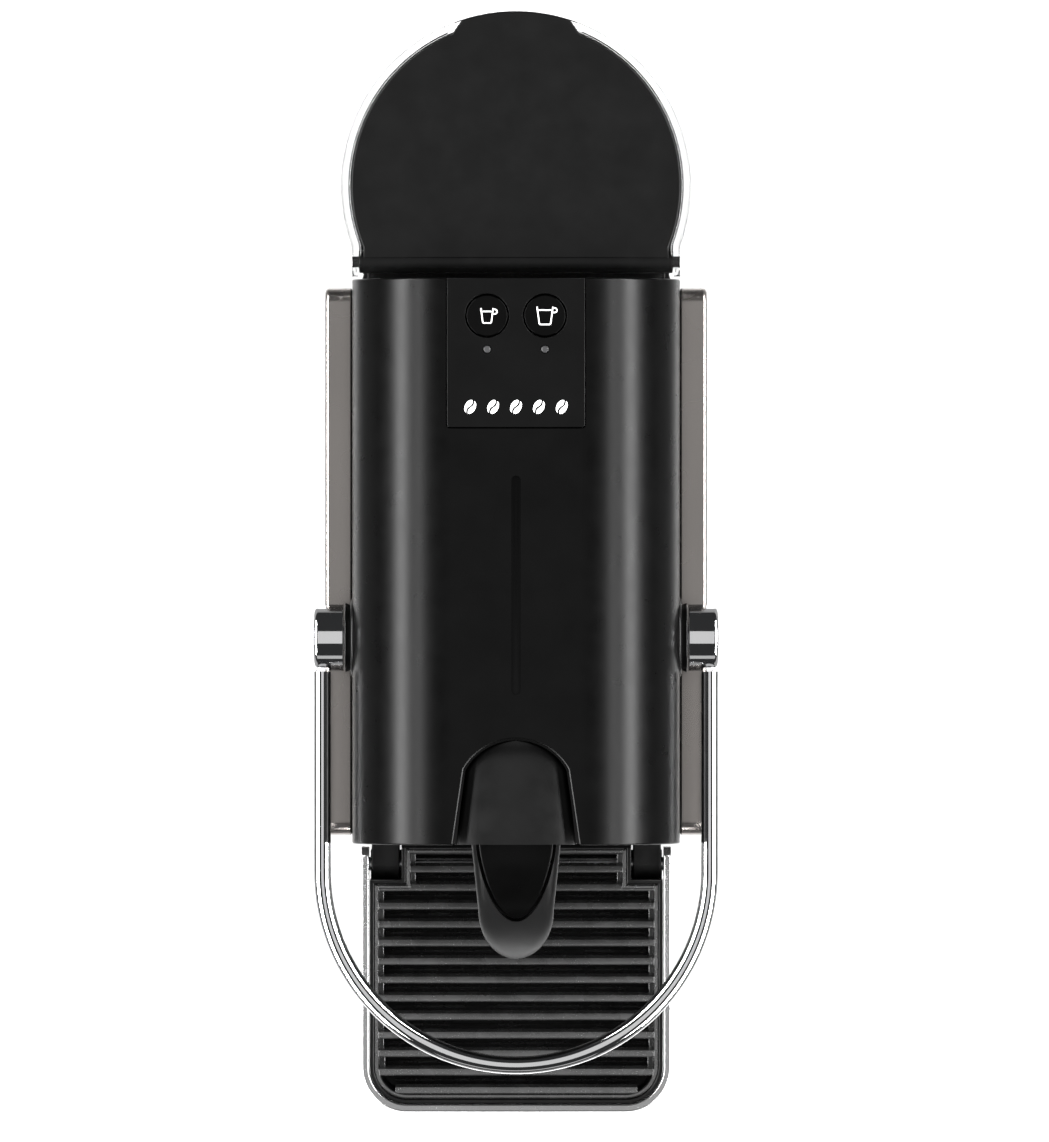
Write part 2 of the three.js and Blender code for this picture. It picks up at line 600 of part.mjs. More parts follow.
// ---------------------------------------------------------------- brewing unit: frame, pod cage, shutter
function makeBrewUnit(group) {
  const cupMouthY = frontY + 8.5;
  const cupBackY = cupMouthY + cupLength;
  for (const { side, word } of sides) {
    const plateTop = pivotZ + 13;
    const outline = roundedBox(frontY + 5, pivotY + 34, deckTopZ + seat, plateTop, 5);
    const low = Math.min(side * frameInnerX, side * frameOuterX);
    const plate = cut(
      prism(outline, "x", low, low + frameOuterX - frameInnerX, 4),
      sideRod(side, pivotY, pivotZ, frameInnerX - 1, frameOuterX + 1, shaftRadius + running, 18),
    );
    place(group, `${word}_frame_plate`, plate, finishes.steel);
  }

  // The plate that the pod's face is pressed against, with the coffee's way out through the fascia.
  const plateBackY = cupMouthY - 0.8;
  const face = prism(roundedBox(-22, 22, deckTopZ + seat, cupAxisZ + cupRadius + 1, 4), "y",
    frontY + endPlateThickness + seat, plateBackY, 4);
  const outlet = rod("y", 0, outletZ, frontY - 6, frontY + endPlateThickness + 1, outletRadius, 16);
  const outletBore = rod("y", 0, outletZ, frontY - 7, plateBackY + 1, outletRadius - 1.5, 12);
  place(group, "extraction_plate", cut(join(face, outlet), outletBore), finishes.plainBlack);

  // The cage that holds the pod: a cup on a yoke, whose ears take the crank pins and whose runners slide.
  const earFrontY = crankPinY - 6.7;
  const earBackY = crankPinY + 6.7;
  const earTopZ = pivotZ + crankRadius + crankPinRadius + 4.1;
  let cage = rod("y", 0, cupAxisZ, cupMouthY, cupBackY, cupRadius, 36);
  const hollow = rod("y", 0, cupAxisZ, cupMouthY - 0.01, cupMouthY + podDepth, podMouthRadius, 28,
    podBackRadius);
  const web = block(-earInnerX - 0.5, earInnerX + 0.5, cupBackY - 3, cupBackY, cupAxisZ - 20,
    cupAxisZ + 18);
  cage = join(cut(cage, hollow), web);
  const slotHalf = crankPinRadius + 1.05; // the pin's own width and the play that its arc needs
  for (const { side } of sides) {
    const ear = sideBlock(side, earInnerX, earOuterX, earFrontY, earBackY, deckTopZ + seat, earTopZ);
    const runner = sideBlock(side, earInnerX, earOuterX, earFrontY, earBackY + 9, deckTopZ + seat,
      deckTopZ + 6);
    const pinSlot = sideBlock(side, earInnerX - 1, earOuterX + 1, crankPinY - slotHalf,
      crankPinY + slotHalf, crankPinZ - crankPinRadius - 0.8,
      pivotZ + crankRadius + crankPinRadius + 0.8);
    cage = join(cage, cut(join(ear, runner), pinSlot));
  }
  const inlet = rod("y", 0, cupAxisZ, cupBackY - 0.5, cupBackY + 5, 3, 14);
  const shutterLow = shutterTopZ - shutterThickness;
  const shutterPost = block(-2, 2, cupMouthY + 4, cupBackY - 4, cupAxisZ + cupRadius - 1,
    shutterLow - seat);
  place(group, "pod_cage", join(cage, inlet, shutterPost), finishes.castAlloy);

  // The crowned lid of the pod slot: it travels with the cage.
  const crown = rod("y", 0, shutterTopZ - 60, frontY - 1, frontY + slotDepth + 9, 60, 160);
  const shutter = prism(slotArch(1.2, frontY), "z", shutterLow, shutterTopZ + 1, 8).intersect(crown);
  place(group, "slot_shutter", shutter, finishes.satinBlack);

  const hosePath = [
    [boilerNipple.x, boilerNipple.y, deckTopZ + 7.3],
    [boilerNipple.x, boilerNipple.y, deckTopZ + 18],
    [boilerNipple.x + 8, boilerNipple.y - 12, cupAxisZ - 3],
    [0, cupBackY + 17, cupAxisZ],
    [0, cupBackY + 5 + seat, cupAxisZ],
  ];
  place(group, "brew_hose", hose(hosePath, 2.6, 18), finishes.hose);
}

// ---------------------------------------------------------------- coffee spout
// The spout's plan, in (x, y): sides that close in slightly and an elliptical nose.
function spoutPlan(rearHalf, noseHalf, rearY, noseLength, tipY) {
  const shape = new THREE.Shape();
  shape.moveTo(-rearHalf, rearY);
  shape.lineTo(-noseHalf, tipY + noseLength);
  shape.absellipse(0, tipY + noseLength, noseHalf, noseLength, Math.PI, 2 * Math.PI, false, 0);
  shape.lineTo(rearHalf, rearY);
  shape.lineTo(-rearHalf, rearY);
  return shape;
}

function sideProfile(points) {
  return new THREE.Shape(points.map(([y, z]) => new THREE.Vector2(frontY + y, z)));
}

const spoutReach = 34.7;
const tongueReach = 24.9;

function makeSpout(group) {
  const rearY = frontY - seat;
  const tipY = frontY - spoutReach;
  const top = [[-seat, 183], [-7, 182.4], [-14, 179.4], [-20, 174.4], [-25.5, 167], [-30, 157.5],
    [-33, 148.5], [-34.7, 140]];
  const under = [[-34.7, 137.5], [-32, 135], [-20, 135], [-14, 140], [-8, 149], [-seat, 160]];
  const shell = prism(spoutPlan(13, 11, rearY, 14.7, tipY), "z", 130, 190, 8)
    .intersect(prism(sideProfile([...top, ...under]), "x", -20, 20));

  const tongueDepth = 3;
  const tongueTip = frontY - tongueReach;
  const lower = (drop) => top.map(([y, z]) => [y, z - drop]);
  const over = [[-spoutReach, 190], [1, 190]];
  const aboveTop = (drop) =>
    prism(sideProfile([[1, lower(drop)[0][1]], ...lower(drop), ...over]), "x", -20, 20);
  const recess = prism(spoutPlan(11.9, 10.2, rearY + 1, 17, tongueTip - 1.2), "z", 130, 195, 8)
    .intersect(aboveTop(tongueDepth + seat));
  const feedZ = outletZ - 15;
  const outletPocket = rod("y", 0, outletZ, frontY - 7, rearY + 1, outletRadius + seat, 16);
  const channel = join(
    rod("z", 0, tipY + 10, 130, feedZ + 2.4, 4.2, 16),
    rod("y", 0, feedZ, tipY + 10, frontY - 3, 2.4, 12),
    rod("z", 0, frontY - 5, feedZ, outletZ, 2.4, 12),
    outletPocket,
  );
  place(group, "coffee_spout", cut(shell, recess, channel), finishes.plainBlack);

  const tongue = prism(spoutPlan(11.1, 9.4, rearY, 17, tongueTip), "z", 130, 195, 8)
    .intersect(prism(sideProfile([...top.map(([y, z]) => [y, z + 0.2]),
      ...lower(tongueDepth).reverse()]), "x", -20, 20));
  place(group, "spout_tongue", cut(tongue, outletPocket), finishes.satinBlack);
}

// ---------------------------------------------------------------- pump, heater and water lines
const pumpPlace = { x: 20, y: bayBackY + 31, half: 17, bottom: 50, top: 94 };
const meterY = backY - 18.5;
const meterRadius = 9;

function makeWaterPath(group) {
  const { x, y, half, bottom, top } = pumpPlace;
  const neckLow = 30;
  const inlet = rod("x", y, 38, x - 14, x, 2.5, 12);
  const outlet = rod("z", x, y, top + 13, top + 22, 2.5, 12);
  const pump = join(
    prism(roundedBox(x - half, x + half, y - half, y + half, 3), "z", bottom, top, 3),
    rod("z", x, y, neckLow, bottom + 1, 9, 20),
    rod("z", x, y, top - 1, top + 14, 7, 20),
    inlet, outlet,
  );
  place(group, "water_pump", pump, finishes.castAlloy);
  const mount = rod("z", x, y, basePanTopZ + seat, neckLow - seat, 11.5, 20, 10);
  place(group, "pump_mount", mount, finishes.rubber);

  const heaterTop = deckTopZ - deckThickness - seat;
  const heaterInletY = heaterFrontY + 30;
  const heater = join(
    prism(roundedBox(-41, -9, heaterFrontY, backY - 12.5, 5), "z", heaterTop - 44, heaterTop, 4),
    rod("z", boilerNipple.x, boilerNipple.y, heaterTop - 1, deckTopZ + 7, 3, 12),
    rod("x", heaterInletY, heaterTop - 24, -10, -4, 2.5, 12),
  );
  place(group, "heater_block", heater, finishes.castAlloy);

  const meter = join(
    rod("z", 0, meterY, basePanTopZ + seat, lowHoseZ + 6, meterRadius, 24),
    rod("y", 0, lowHoseZ, meterY + meterRadius - 1, meterY + meterRadius + 4, 2.5, 12),
    rod("x", meterY, lowHoseZ, -meterRadius - 4, 1 - meterRadius, 2.5, 12),
  );
  place(group, "flow_meter", meter, finishes.plainBlack);

  const suction = [
    [-meterRadius - 4 - seat, meterY, lowHoseZ],
    [-meterRadius - 9, meterY, lowHoseZ],
    [-meterRadius - 10, meterY - 12, lowHoseZ + 6],
    [x - 24, y, 38],
    [x - 14 - seat, y, 38],
  ];
  place(group, "suction_hose", hose(suction, hoseRadius, 18), finishes.hose);
  const pressure = [
    [x, y, top + 22 + seat],
    [x, y, top + 30],
    [x - 7, y, heaterTop - 26],
    [6, heaterInletY, heaterTop - 24],
    [-4 + seat, heaterInletY, heaterTop - 24],
  ];
  place(group, "pressure_hose", hose(pressure, hoseRadius, 14), finishes.hose);
}

function makePowerBoard(group) {
  let board = block(-38, -2, bayBackY + 4, bayBackY + 5.6, 30, 92);
  const posts = [[-34, 34], [-6, 34], [-34, 88], [-6, 88]];
  for (const [x, z] of posts) {
    board = join(board, rod("y", x, z, bayBackY + seat, bayBackY + 4.5, 2.2, 10));
  }
  board = join(
    board,
    block(-34, -18, bayBackY + 5, bayBackY + 18, 62, 82),
    rod("y", -12, 50, bayBackY + 5, bayBackY + 20, 6, 16),
  );
  place(group, "power_board", board, finishes.circuit);
}

// ---------------------------------------------------------------- pull-out module: front, drip base, pod bin
function makeModule(group) {
  const frontPlate = prism(roundedBox(-insideX, insideX, basePanTopZ + 0.8, moduleTopZ, 1.5), "y",
    frontY, frontY + endPlateThickness, 3);

  const innerFront = frontY + endPlateThickness + seat;
  const innerBack = frontY + moduleDepth;
  const half = insideX - 1.8;
  const floorZ = basePanTopZ + 0.8;
  const rimZ = floorZ + dripBaseHeight;
  const drip = cut(
    block(-half, half, innerFront, innerBack, floorZ, rimZ),
    block(binWall - half, half - binWall, innerFront + binWall, innerBack - binWall, floorZ + binWall,
      rimZ + 1),
  );
  place(group, "drip_base", drip, finishes.plainBlack);

  const bin = cut(
    block(-half, half, innerFront, innerBack, rimZ + seat, containerTopZ),
    block(binWall - half, half - binWall, innerFront + binWall, innerBack - binWall,
      rimZ + seat + binWall, containerTopZ + 1),
  );
  const floorSlots = [-18, -6, 6, 18].map((x) =>
    block(x - 1.5, x + 1.5, innerFront + 20, innerBack - 20, rimZ, rimZ + 4),
  );
  place(group, "pod_bin", cut(bin, ...floorSlots), finishes.plainBlack);

  const knuckles = sides.map(({ side }) => {
    const low = Math.min(side * hingeBlockInnerX, side * hingeBlockOuterX);
    const reach = 4.3;
    const shape = new THREE.Shape();
    shape.moveTo(frontY + 1, trayAxisZ + reach);
    shape.absarc(trayAxisY, trayAxisZ, reach, Math.PI / 2, 1.5 * Math.PI, false);
    shape.lineTo(frontY + 1, trayAxisZ - reach);
    shape.lineTo(frontY + 1, trayAxisZ + reach);
    return cut(
      prism(shape, "x", low, low + hingeBlockWidth, 8),
      sideRod(side, trayAxisY, trayAxisZ, hingeBlockInnerX - 1, hingeBlockOuterX + 1,
        hingePinRadius + running, 14),
    );
  });
  place(group, "module_front", join(frontPlate, ...knuckles), finishes.satinBlack);
}

// ---------------------------------------------------------------- folding cup tray, band, grid and pins
const trayAxisY = frontY - (bandTopZ - trayAxisZ) - 0.7;
const bandInnerX = bandWidth / 2 - bandThickness;
const hingeBlockOuterX = bandInnerX - 0.75;
const hingeBlockInnerX = hingeBlockOuterX - hingeBlockWidth;
const bandFrontY = -depth / 2;
const trayHalf = bandInnerX - seat;
const trayFrontY = bandFrontY + bandThickness + seat;
const trayShoulderY = trayAxisY - 4.7; // behind this the tray narrows to pass between the hinge blocks
const trayTongueHalf = hingeBlockInnerX - 0.5;
const trayBackY = trayAxisY + 5.9;
const traySwing = 8.3; // how near the axis the tray's upper back edge stays, to pass the machine's front

// Trims a piece of the tray so that its upper back edge clears the machine's front as the tray folds up.
function trimForFold(body) {
  const shape = new THREE.Shape();
  shape.moveTo(trayAxisY + traySwing, trayBottomZ - 1);
  shape.absarc(trayAxisY, trayAxisZ, traySwing, 0, Math.PI / 2, false);
  shape.lineTo(bandFrontY - 1, trayAxisZ + traySwing);
  shape.lineTo(bandFrontY - 1, trayBottomZ - 1);
  shape.lineTo(trayAxisY + traySwing, trayBottomZ - 1);
  return body.intersect(prism(shape, "x", -bandWidth, bandWidth, 6));
}

// The tray's plan, in (x, y), drawn the given distance inside its outer face.
function trayPlan(inset) {
  const half = trayHalf - inset;
  const tongue = trayTongueHalf - inset;
  const front = trayFrontY + inset;
  const radius = bandCornerRadius - bandThickness - seat - inset;
  const shape = new THREE.Shape();
  shape.moveTo(radius - half, front);
  shape.lineTo(half - radius, front);
  shape.absarc(half - radius, front + radius, radius, -Math.PI / 2, 0, false);
  shape.lineTo(half, trayShoulderY - inset);
  shape.lineTo(tongue, trayShoulderY - inset);
  shape.lineTo(tongue, trayBackY - inset);
  shape.lineTo(-tongue, trayBackY - inset);
  shape.lineTo(-tongue, trayShoulderY - inset);
  shape.lineTo(-half, trayShoulderY - inset);
  shape.absarc(radius - half, front + radius, radius, Math.PI, 1.5 * Math.PI, false);
  return shape;
}

function makeCupTray(group) {
  const ledgeZ = gridTopZ - gridThickness - seat;
  const tray = cut(
    prism(trayPlan(0), "z", trayBottomZ, gridTopZ - 0.2, 6),
    prism(trayPlan(trayWall), "z", ledgeZ, gridTopZ + 1, 6),
    prism(trayPlan(trayWall + 1.6), "z", trayBottomZ + 2, ledgeZ + 1, 6),
  );
  const pinHole = rod("x", trayAxisY, trayAxisZ, -trayTongueHalf - 1, trayTongueHalf + 1,
    hingePinRadius + running, 14);
  place(group, "cup_tray", trimForFold(cut(tray, pinHole)), finishes.plainBlack);

  const outer = new THREE.Shape();
  const half = bandWidth / 2;
  const armBackY = trayAxisY + 5;
  const innerRadius = bandCornerRadius - bandThickness;
  outer.moveTo(-half, armBackY);
  outer.absarc(bandCornerRadius - half, bandFrontY + bandCornerRadius, bandCornerRadius, Math.PI,
    1.5 * Math.PI, false);
  outer.absarc(half - bandCornerRadius, bandFrontY + bandCornerRadius, bandCornerRadius,
    1.5 * Math.PI, 2 * Math.PI, false);
  outer.lineTo(half, armBackY);
  outer.lineTo(bandInnerX, armBackY);
  outer.absarc(half - bandCornerRadius, bandFrontY + bandCornerRadius, innerRadius, 0,
    -Math.PI / 2, true);
  outer.absarc(bandCornerRadius - half, bandFrontY + bandCornerRadius, innerRadius, -Math.PI / 2,
    -Math.PI, true);
  outer.lineTo(-bandInnerX, armBackY);
  outer.lineTo(-half, armBackY);
  const bandPinHole = rod("x", trayAxisY, trayAxisZ, -half - 1, half + 1, hingePinRadius + running, 14);
  const band = cut(prism(outer, "z", bandBottomZ, bandTopZ, 10), bandPinHole);
  place(group, "tray_band", trimForFold(band), finishes.bandSilver);

  const pin = rod("x", trayAxisY, trayAxisZ, 0.3 - half, half - 0.3, hingePinRadius, 14);
  place(group, "tray_hinge_pin", pin, finishes.steel);
  place(group, "drip_grid", trimForFold(makeGrid()), finishes.glossBlack);
}

// The lift-out grid: a flat rim with rounded slats across it.
function makeGrid() {
  const rim = 1.3;
  const frontRim = 2.3;
  const low = gridTopZ - gridThickness;
  const inset = trayWall + seat;
  const frame = cut(
    prism(trayPlan(inset), "z", low, gridTopZ, 6),
    prism(trayPlan(inset + rim), "z", low - 1, gridTopZ + 1, 6)
      .intersect(block(-bandWidth, bandWidth, trayFrontY + inset + frontRim, frontY, low - 2,
        gridTopZ + 2)),
  );
  const field = prism(trayPlan(inset + 0.5), "z", low, gridTopZ - 0.3, 6);
  const firstY = trayFrontY + 4.3;
  const count = Math.floor((trayBackY - 1.5 - firstY) / slatPitch) + 1;
  const slats = [];
  for (let i = 0; i < count; i++) {
    const y = firstY + i * slatPitch;
    const shape = new THREE.Shape();
    shape.moveTo(y - slatWidth / 2, low);
    shape.lineTo(y + slatWidth / 2, low);
    shape.lineTo(y + slatWidth / 2, gridTopZ - 1.4);
    shape.quadraticCurveTo(y, gridTopZ - 0.3, y - slatWidth / 2, gridTopZ - 0.6);
    slats.push(prism(shape, "x", -bandWidth / 2, bandWidth / 2, 3).intersect(field));
  }
  return join(frame, ...slats);
}

// ---------------------------------------------------------------- water tank, valve, lid and the base below it
function makeTankBase(group) {
  const inset = tankBaseInset;
  const front = tankFrontY;
  const topZ = tankBottomZ - seat;
  const wall = 2.4;
  const low = basePanTopZ + seat;
  const shell = cut(
    prism(tankOutline(inset, front), "z", low, topZ, 24),
    prism(tankOutline(inset + wall, front + wall), "z", low - 1, topZ - wall, 24),
  );
  const valveHole = rod("z", 0, tankCentreY, topZ - 9, topZ + 1, valveRadius + 3.5, 24);
  const hoseHole = rod("y", 0, lowHoseZ, front - 1, front + 9, hoseHoleRadius, 16);
  const rearWallY = tankCentreY + tankRadius - inset;
  const glandHole = rod("y", 0, glandZ, rearWallY - 9, rearWallY + 1, glandRadius + seat, 16);
  place(group, "tank_base", cut(shell, valveHole, hoseHole, glandHole), finishes.plainBlack);

  const coupling = cut(
    join(
      rod("z", 0, tankCentreY, basePanTopZ + seat, topZ - 1, valveRadius + 3, 24),
      rod("y", 0, lowHoseZ, tankCentreY - valveRadius - 8, tankCentreY, 2.5, 12),
    ),
    rod("z", 0, tankCentreY, topZ - 8, topZ + 1, valveRadius + seat, 24),
  );
  place(group, "tank_coupling", coupling, finishes.rubber);
  const feedStart = tankCentreY - valveRadius - 8 - seat;
  const feedEnd = meterY + meterRadius + 4 + seat;
  place(group, "tank_feed_hose", rod("y", 0, lowHoseZ, feedEnd, feedStart, hoseRadius, 16),
    finishes.hose);

  const gland = cut(
    join(
      rod("y", 0, glandZ, rearWallY + seat, rearWallY + 1.4, glandRadius + 1.6, 20),
      rod("y", 0, glandZ, rearWallY - 6, rearWallY + 1, glandRadius, 16),
    ),
    rod("y", 0, glandZ, rearWallY - 7, rearWallY + 3, glandRadius - 1.4, 16),
  );
  place(group, "cord_gland", gland, finishes.rubber);
}

const glandZ = 22;
const glandRadius = 4.2;
const lidTopZ = tankRimZ;
const lidAxisZ = lidTopZ - lidBarrelRadius;
const lidAxisY = tankFrontY + lidBarrelRadius + 1;

function makeTank(group) {
  const outline = tankOutline(0, tankFrontY);
  const inner = tankOutline(tankWall, tankFrontY + tankWall);
  const frontNotchZ = lidAxisZ - lidBarrelRadius - 0.5;
  const frontNotch = block(-tankHalfWidth + tankWall, tankHalfWidth - tankWall, tankFrontY - 1,
    tankFrontY + tankWall + 1, frontNotchZ, tankRimZ + 1);
  const tabNotch = block(-lidTabHalfWidth - 0.4, lidTabHalfWidth + 0.4, tankCentreY + 20,
    tankCentreY + tankRadius + 1, lidTopZ - lidThickness - 0.3, tankRimZ + 1);
  const pinHoles = rod("x", lidAxisY, lidAxisZ, -tankHalfWidth - 1, tankHalfWidth + 1,
    lidPinRadius + running, 14);
  const valveHole = rod("z", 0, tankCentreY, tankBottomZ - 1, tankBottomZ + tankFloor + 1,
    valveRadius - 1.2 + seat, 20);
  const tank = cut(
    prism(outline, "z", tankBottomZ, tankRimZ, 36),
    prism(inner, "z", tankBottomZ + tankFloor, tankRimZ + 1, 36),
    frontNotch, tabNotch, pinHoles, valveHole,
  );
  place(group, "water_tank", tank, finishes.clear);

  const neck = valveRadius - 1.2;
  const valve = join(
    rod("z", 0, tankCentreY, tankBottomZ - 7, tankBottomZ - seat, valveRadius, 24),
    rod("z", 0, tankCentreY, tankBottomZ - 1, tankBottomZ + tankFloor + 3, neck, 20),
    rod("z", 0, tankCentreY, tankBottomZ + tankFloor + seat, tankBottomZ + tankFloor + 2.5, neck + 3, 20),
  );
  place(group, "tank_valve", valve, finishes.plainBlack);

  const hinge = new THREE.Group();
  hinge.position.set(0, lidAxisY, lidAxisZ);
  group.add(hinge);
  place(hinge, "tank_lid", makeLid(), finishes.satinBlack);
}

// The lid, in the frame of its hinge: a round plate with a finger tab, a barrel and two pins.
function makeLid() {
  const centreY = tankCentreY - lidAxisY;
  const radius = tankRadius - tankWall - lidGap;
  const barrelHalf = tankHalfWidth - tankWall - seat;
  const top = lidBarrelRadius;
  const low = top - lidThickness;
  const start = -Math.acos((barrelHalf - 1.2) / radius);
  const plan = new THREE.Shape();
  plan.moveTo(1.2 - barrelHalf, 0);
  plan.lineTo(barrelHalf - 1.2, 0);
  plan.absarc(0, centreY, radius, start, Math.PI - start, false);
  const tab = new THREE.Shape();
  const tabAngle = Math.asin(lidTabHalfWidth / tankRadius);
  tab.moveTo(lidTabHalfWidth, centreY + 20);
  tab.absarc(0, centreY, tankRadius, Math.PI / 2 - tabAngle, Math.PI / 2 + tabAngle, false);
  tab.lineTo(-lidTabHalfWidth, centreY + 20);
  tab.lineTo(lidTabHalfWidth, centreY + 20);
  return join(
    prism(plan, "z", low, top, 40),
    prism(tab, "z", low, top, 8),
    rod("x", 0, 0, -barrelHalf, barrelHalf, lidBarrelRadius, 20),
    rod("x", 0, 0, -tankHalfWidth + 0.1, tankHalfWidth - 0.1, lidPinRadius, 14),
  );
}

makeBase(machine);
makeBody(machine);
makeKeypad(machine);
makeLever(machine);
makeBrewUnit(machine);
makeSpout(machine);
makeWaterPath(machine);
makePowerBoard(machine);
makeModule(machine);
makeCupTray(machine);
makeTankBase(machine);
makeTank(machine);

export default machine;
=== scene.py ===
from math import acos, asin, cos, pi, radians, sin, sqrt

import bmesh
import bpy
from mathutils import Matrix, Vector


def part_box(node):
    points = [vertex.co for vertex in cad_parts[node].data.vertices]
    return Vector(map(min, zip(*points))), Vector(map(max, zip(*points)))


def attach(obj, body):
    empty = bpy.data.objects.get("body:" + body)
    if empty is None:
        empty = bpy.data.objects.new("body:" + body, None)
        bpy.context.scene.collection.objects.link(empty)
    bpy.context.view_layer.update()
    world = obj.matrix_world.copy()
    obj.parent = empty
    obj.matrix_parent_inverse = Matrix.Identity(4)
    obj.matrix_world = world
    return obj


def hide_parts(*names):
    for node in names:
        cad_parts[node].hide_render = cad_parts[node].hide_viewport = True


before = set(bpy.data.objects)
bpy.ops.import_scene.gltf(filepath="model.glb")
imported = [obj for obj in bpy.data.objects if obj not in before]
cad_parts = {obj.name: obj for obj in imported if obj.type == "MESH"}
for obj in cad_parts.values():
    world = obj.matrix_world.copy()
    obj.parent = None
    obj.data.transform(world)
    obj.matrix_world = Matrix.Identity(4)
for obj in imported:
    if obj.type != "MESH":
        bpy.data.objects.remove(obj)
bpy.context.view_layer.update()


# ------------------------------------------------------------------ camera, floor and studio light
# The machine stands on a paper floor with a pool of light painted pale round it, and is looked at from
# straight above. A long softbox on each side lights its rounded shoulders, with a weaker one above it.
# A dim one hangs overhead, one in front.
scene = bpy.context.scene
mm = 0.001
camera = bpy.data.objects.new("camera", bpy.data.cameras.new("camera"))
camera.location = (2.45 * mm, 0, 5.235)
camera.data.lens = 547.0
camera.data.clip_end = 50
scene.collection.objects.link(camera)
scene.camera = camera
scene.view_settings.view_transform = "Standard"


def nodes_of(material):
    material.use_nodes = True
    tree = material.node_tree
    return tree, tree.nodes["Principled BSDF"]


def new_node(tree, kind, **settings):
    node = tree.nodes.new(kind)
    for name, value in settings.items():
        setattr(node, name, value)
    return node


def speckle(tree, size, detail=3.0):
    """Noise whose grains are about the given size, carried along with the piece."""
    place = new_node(tree, "ShaderNodeTexCoord")
    noise = new_node(tree, "ShaderNodeTexNoise")
    noise.inputs["Scale"].default_value = 1 / size
    noise.inputs["Detail"].default_value = detail
    tree.links.new(place.outputs["Object"], noise.inputs["Vector"])
    return noise.outputs["Fac"]


def between(tree, value, low, high):
    """Maps the middle of a noise onto the range from low to high."""
    remap = new_node(tree, "ShaderNodeMapRange")
    remap.inputs["From Min"].default_value = 0.3
    remap.inputs["From Max"].default_value = 0.7
    remap.inputs["To Min"].default_value = low
    remap.inputs["To Max"].default_value = high
    tree.links.new(value, remap.inputs["Value"])
    return remap.outputs["Result"]


def tint(tree, value, dark, light):
    """A colour that drifts between two shades."""
    mix = new_node(tree, "ShaderNodeMix", data_type="RGBA")
    mix.inputs["A"].default_value = (*dark, 1)
    mix.inputs["B"].default_value = (*light, 1)
    tree.links.new(between(tree, value, 0, 1), mix.inputs["Factor"])
    return mix.outputs["Result"]


def relief(tree, surface, value, height):
    """Raises the grain on the surface by the given height."""
    bump = new_node(tree, "ShaderNodeBump")
    bump.inputs["Strength"].default_value = 1.0
    bump.inputs["Distance"].default_value = height
    tree.links.new(value, bump.inputs["Height"])
    tree.links.new(bump.outputs["Normal"], surface.inputs["Normal"])


def softbox(name, place, target, size, power):
    """An area light aimed at a point: its size is its level side first, then its tilted one."""
    light = bpy.data.lights.new(name, "AREA")
    light.shape = "RECTANGLE"
    light.size, light.size_y = size
    light.energy = power
    lamp = bpy.data.objects.new(name, light)
    lamp.location = place
    lamp.rotation_euler = (Vector(target) - Vector(place)).to_track_quat("-Z", "Y").to_euler()
    scene.collection.objects.link(lamp)


for side, word in ((-1, "left"), (1, "right")):
    softbox(f"{word}_softbox", (side * 1.15, 0, 0.8), (0, 0, 0.2), (3.0, 0.28), 86)
    softbox(f"{word}_fill", (side * 0.8, 0, 1.12), (0, 0, 0.2), (2.6, 0.14), 19)
softbox("top_softbox", (0, 0, 1.9), (0, 0, 0), (0.7, 1.3), 1.75)
softbox("front_softbox", (0, -1.5, 0.7), (0, 0, 0.15), (1.2, 0.35), 0.6)

scene.world = bpy.data.worlds.new("studio")
scene.world.use_nodes = True
room = scene.world.node_tree.nodes["Background"]
room.inputs["Color"].default_value = (0.9, 0.92, 0.95, 1)
room.inputs["Strength"].default_value = 0.03

floor_half = 2
floor_mesh = bpy.data.meshes.new("floor")
floor_mesh.from_pydata([(-floor_half, -floor_half, 0), (floor_half, -floor_half, 0),
                        (floor_half, floor_half, 0), (-floor_half, floor_half, 0)], [], [(0, 1, 2, 3)])
floor = bpy.data.objects.new("floor", floor_mesh)
scene.collection.objects.link(floor)
floor_painted_pool = bpy.data.materials.new("floor_painted_pool")
tree, surface = nodes_of(floor_painted_pool)
# A pool of light is painted on the paper: pale in an oval round the machine, falling off to grey beyond
# it.
pale, grey, narrower = 0.5, 0.08, 1.5
fade_start, fade_end = 0.27, 0.44
place = new_node(tree, "ShaderNodeTexCoord")
oval = new_node(tree, "ShaderNodeVectorMath", operation="MULTIPLY")
oval.inputs[1].default_value = (narrower, 1, 1)
away = new_node(tree, "ShaderNodeVectorMath", operation="LENGTH")
tree.links.new(place.outputs["Object"], oval.inputs[0])
tree.links.new(oval.outputs["Vector"], away.inputs["Vector"])
fade = new_node(tree, "ShaderNodeMapRange", interpolation_type="SMOOTHSTEP")
fade.inputs["From Min"].default_value = fade_start
fade.inputs["From Max"].default_value = fade_end
tree.links.new(away.outputs["Value"], fade.inputs["Value"])
# Mixes the painted pool of light into the paper's colour: pale near the machine, grey beyond.
painted_light_pool = new_node(tree, "ShaderNodeMix", data_type="RGBA")
painted_light_pool.inputs["A"].default_value = (pale, pale, pale, 1)
painted_light_pool.inputs["B"].default_value = (grey, grey, grey, 1)
tree.links.new(fade.outputs["Result"], painted_light_pool.inputs["Factor"])
tree.links.new(painted_light_pool.outputs["Result"], surface.inputs["Base Color"])
surface.inputs["Roughness"].default_value = 0.9
surface.inputs["Specular IOR Level"].default_value = 0.1
floor_mesh.materials.append(floor_painted_pool)


# ------------------------------------------------------------------ base pan, feet and screws
# A flat moulded pan in black polypropylene that the whole machine is screwed down to, with the round
# part that carries the water tank. Four soft rubber feet are pressed into it from below.
def arc(centre, radius, start, end, steps):
    """Points along an arc, between two angles in degrees."""
    angles = [radians(start + (end - start) * i / steps) for i in range(steps + 1)]
    return [(centre[0] + radius * cos(a), centre[1] + radius * sin(a)) for a in angles]


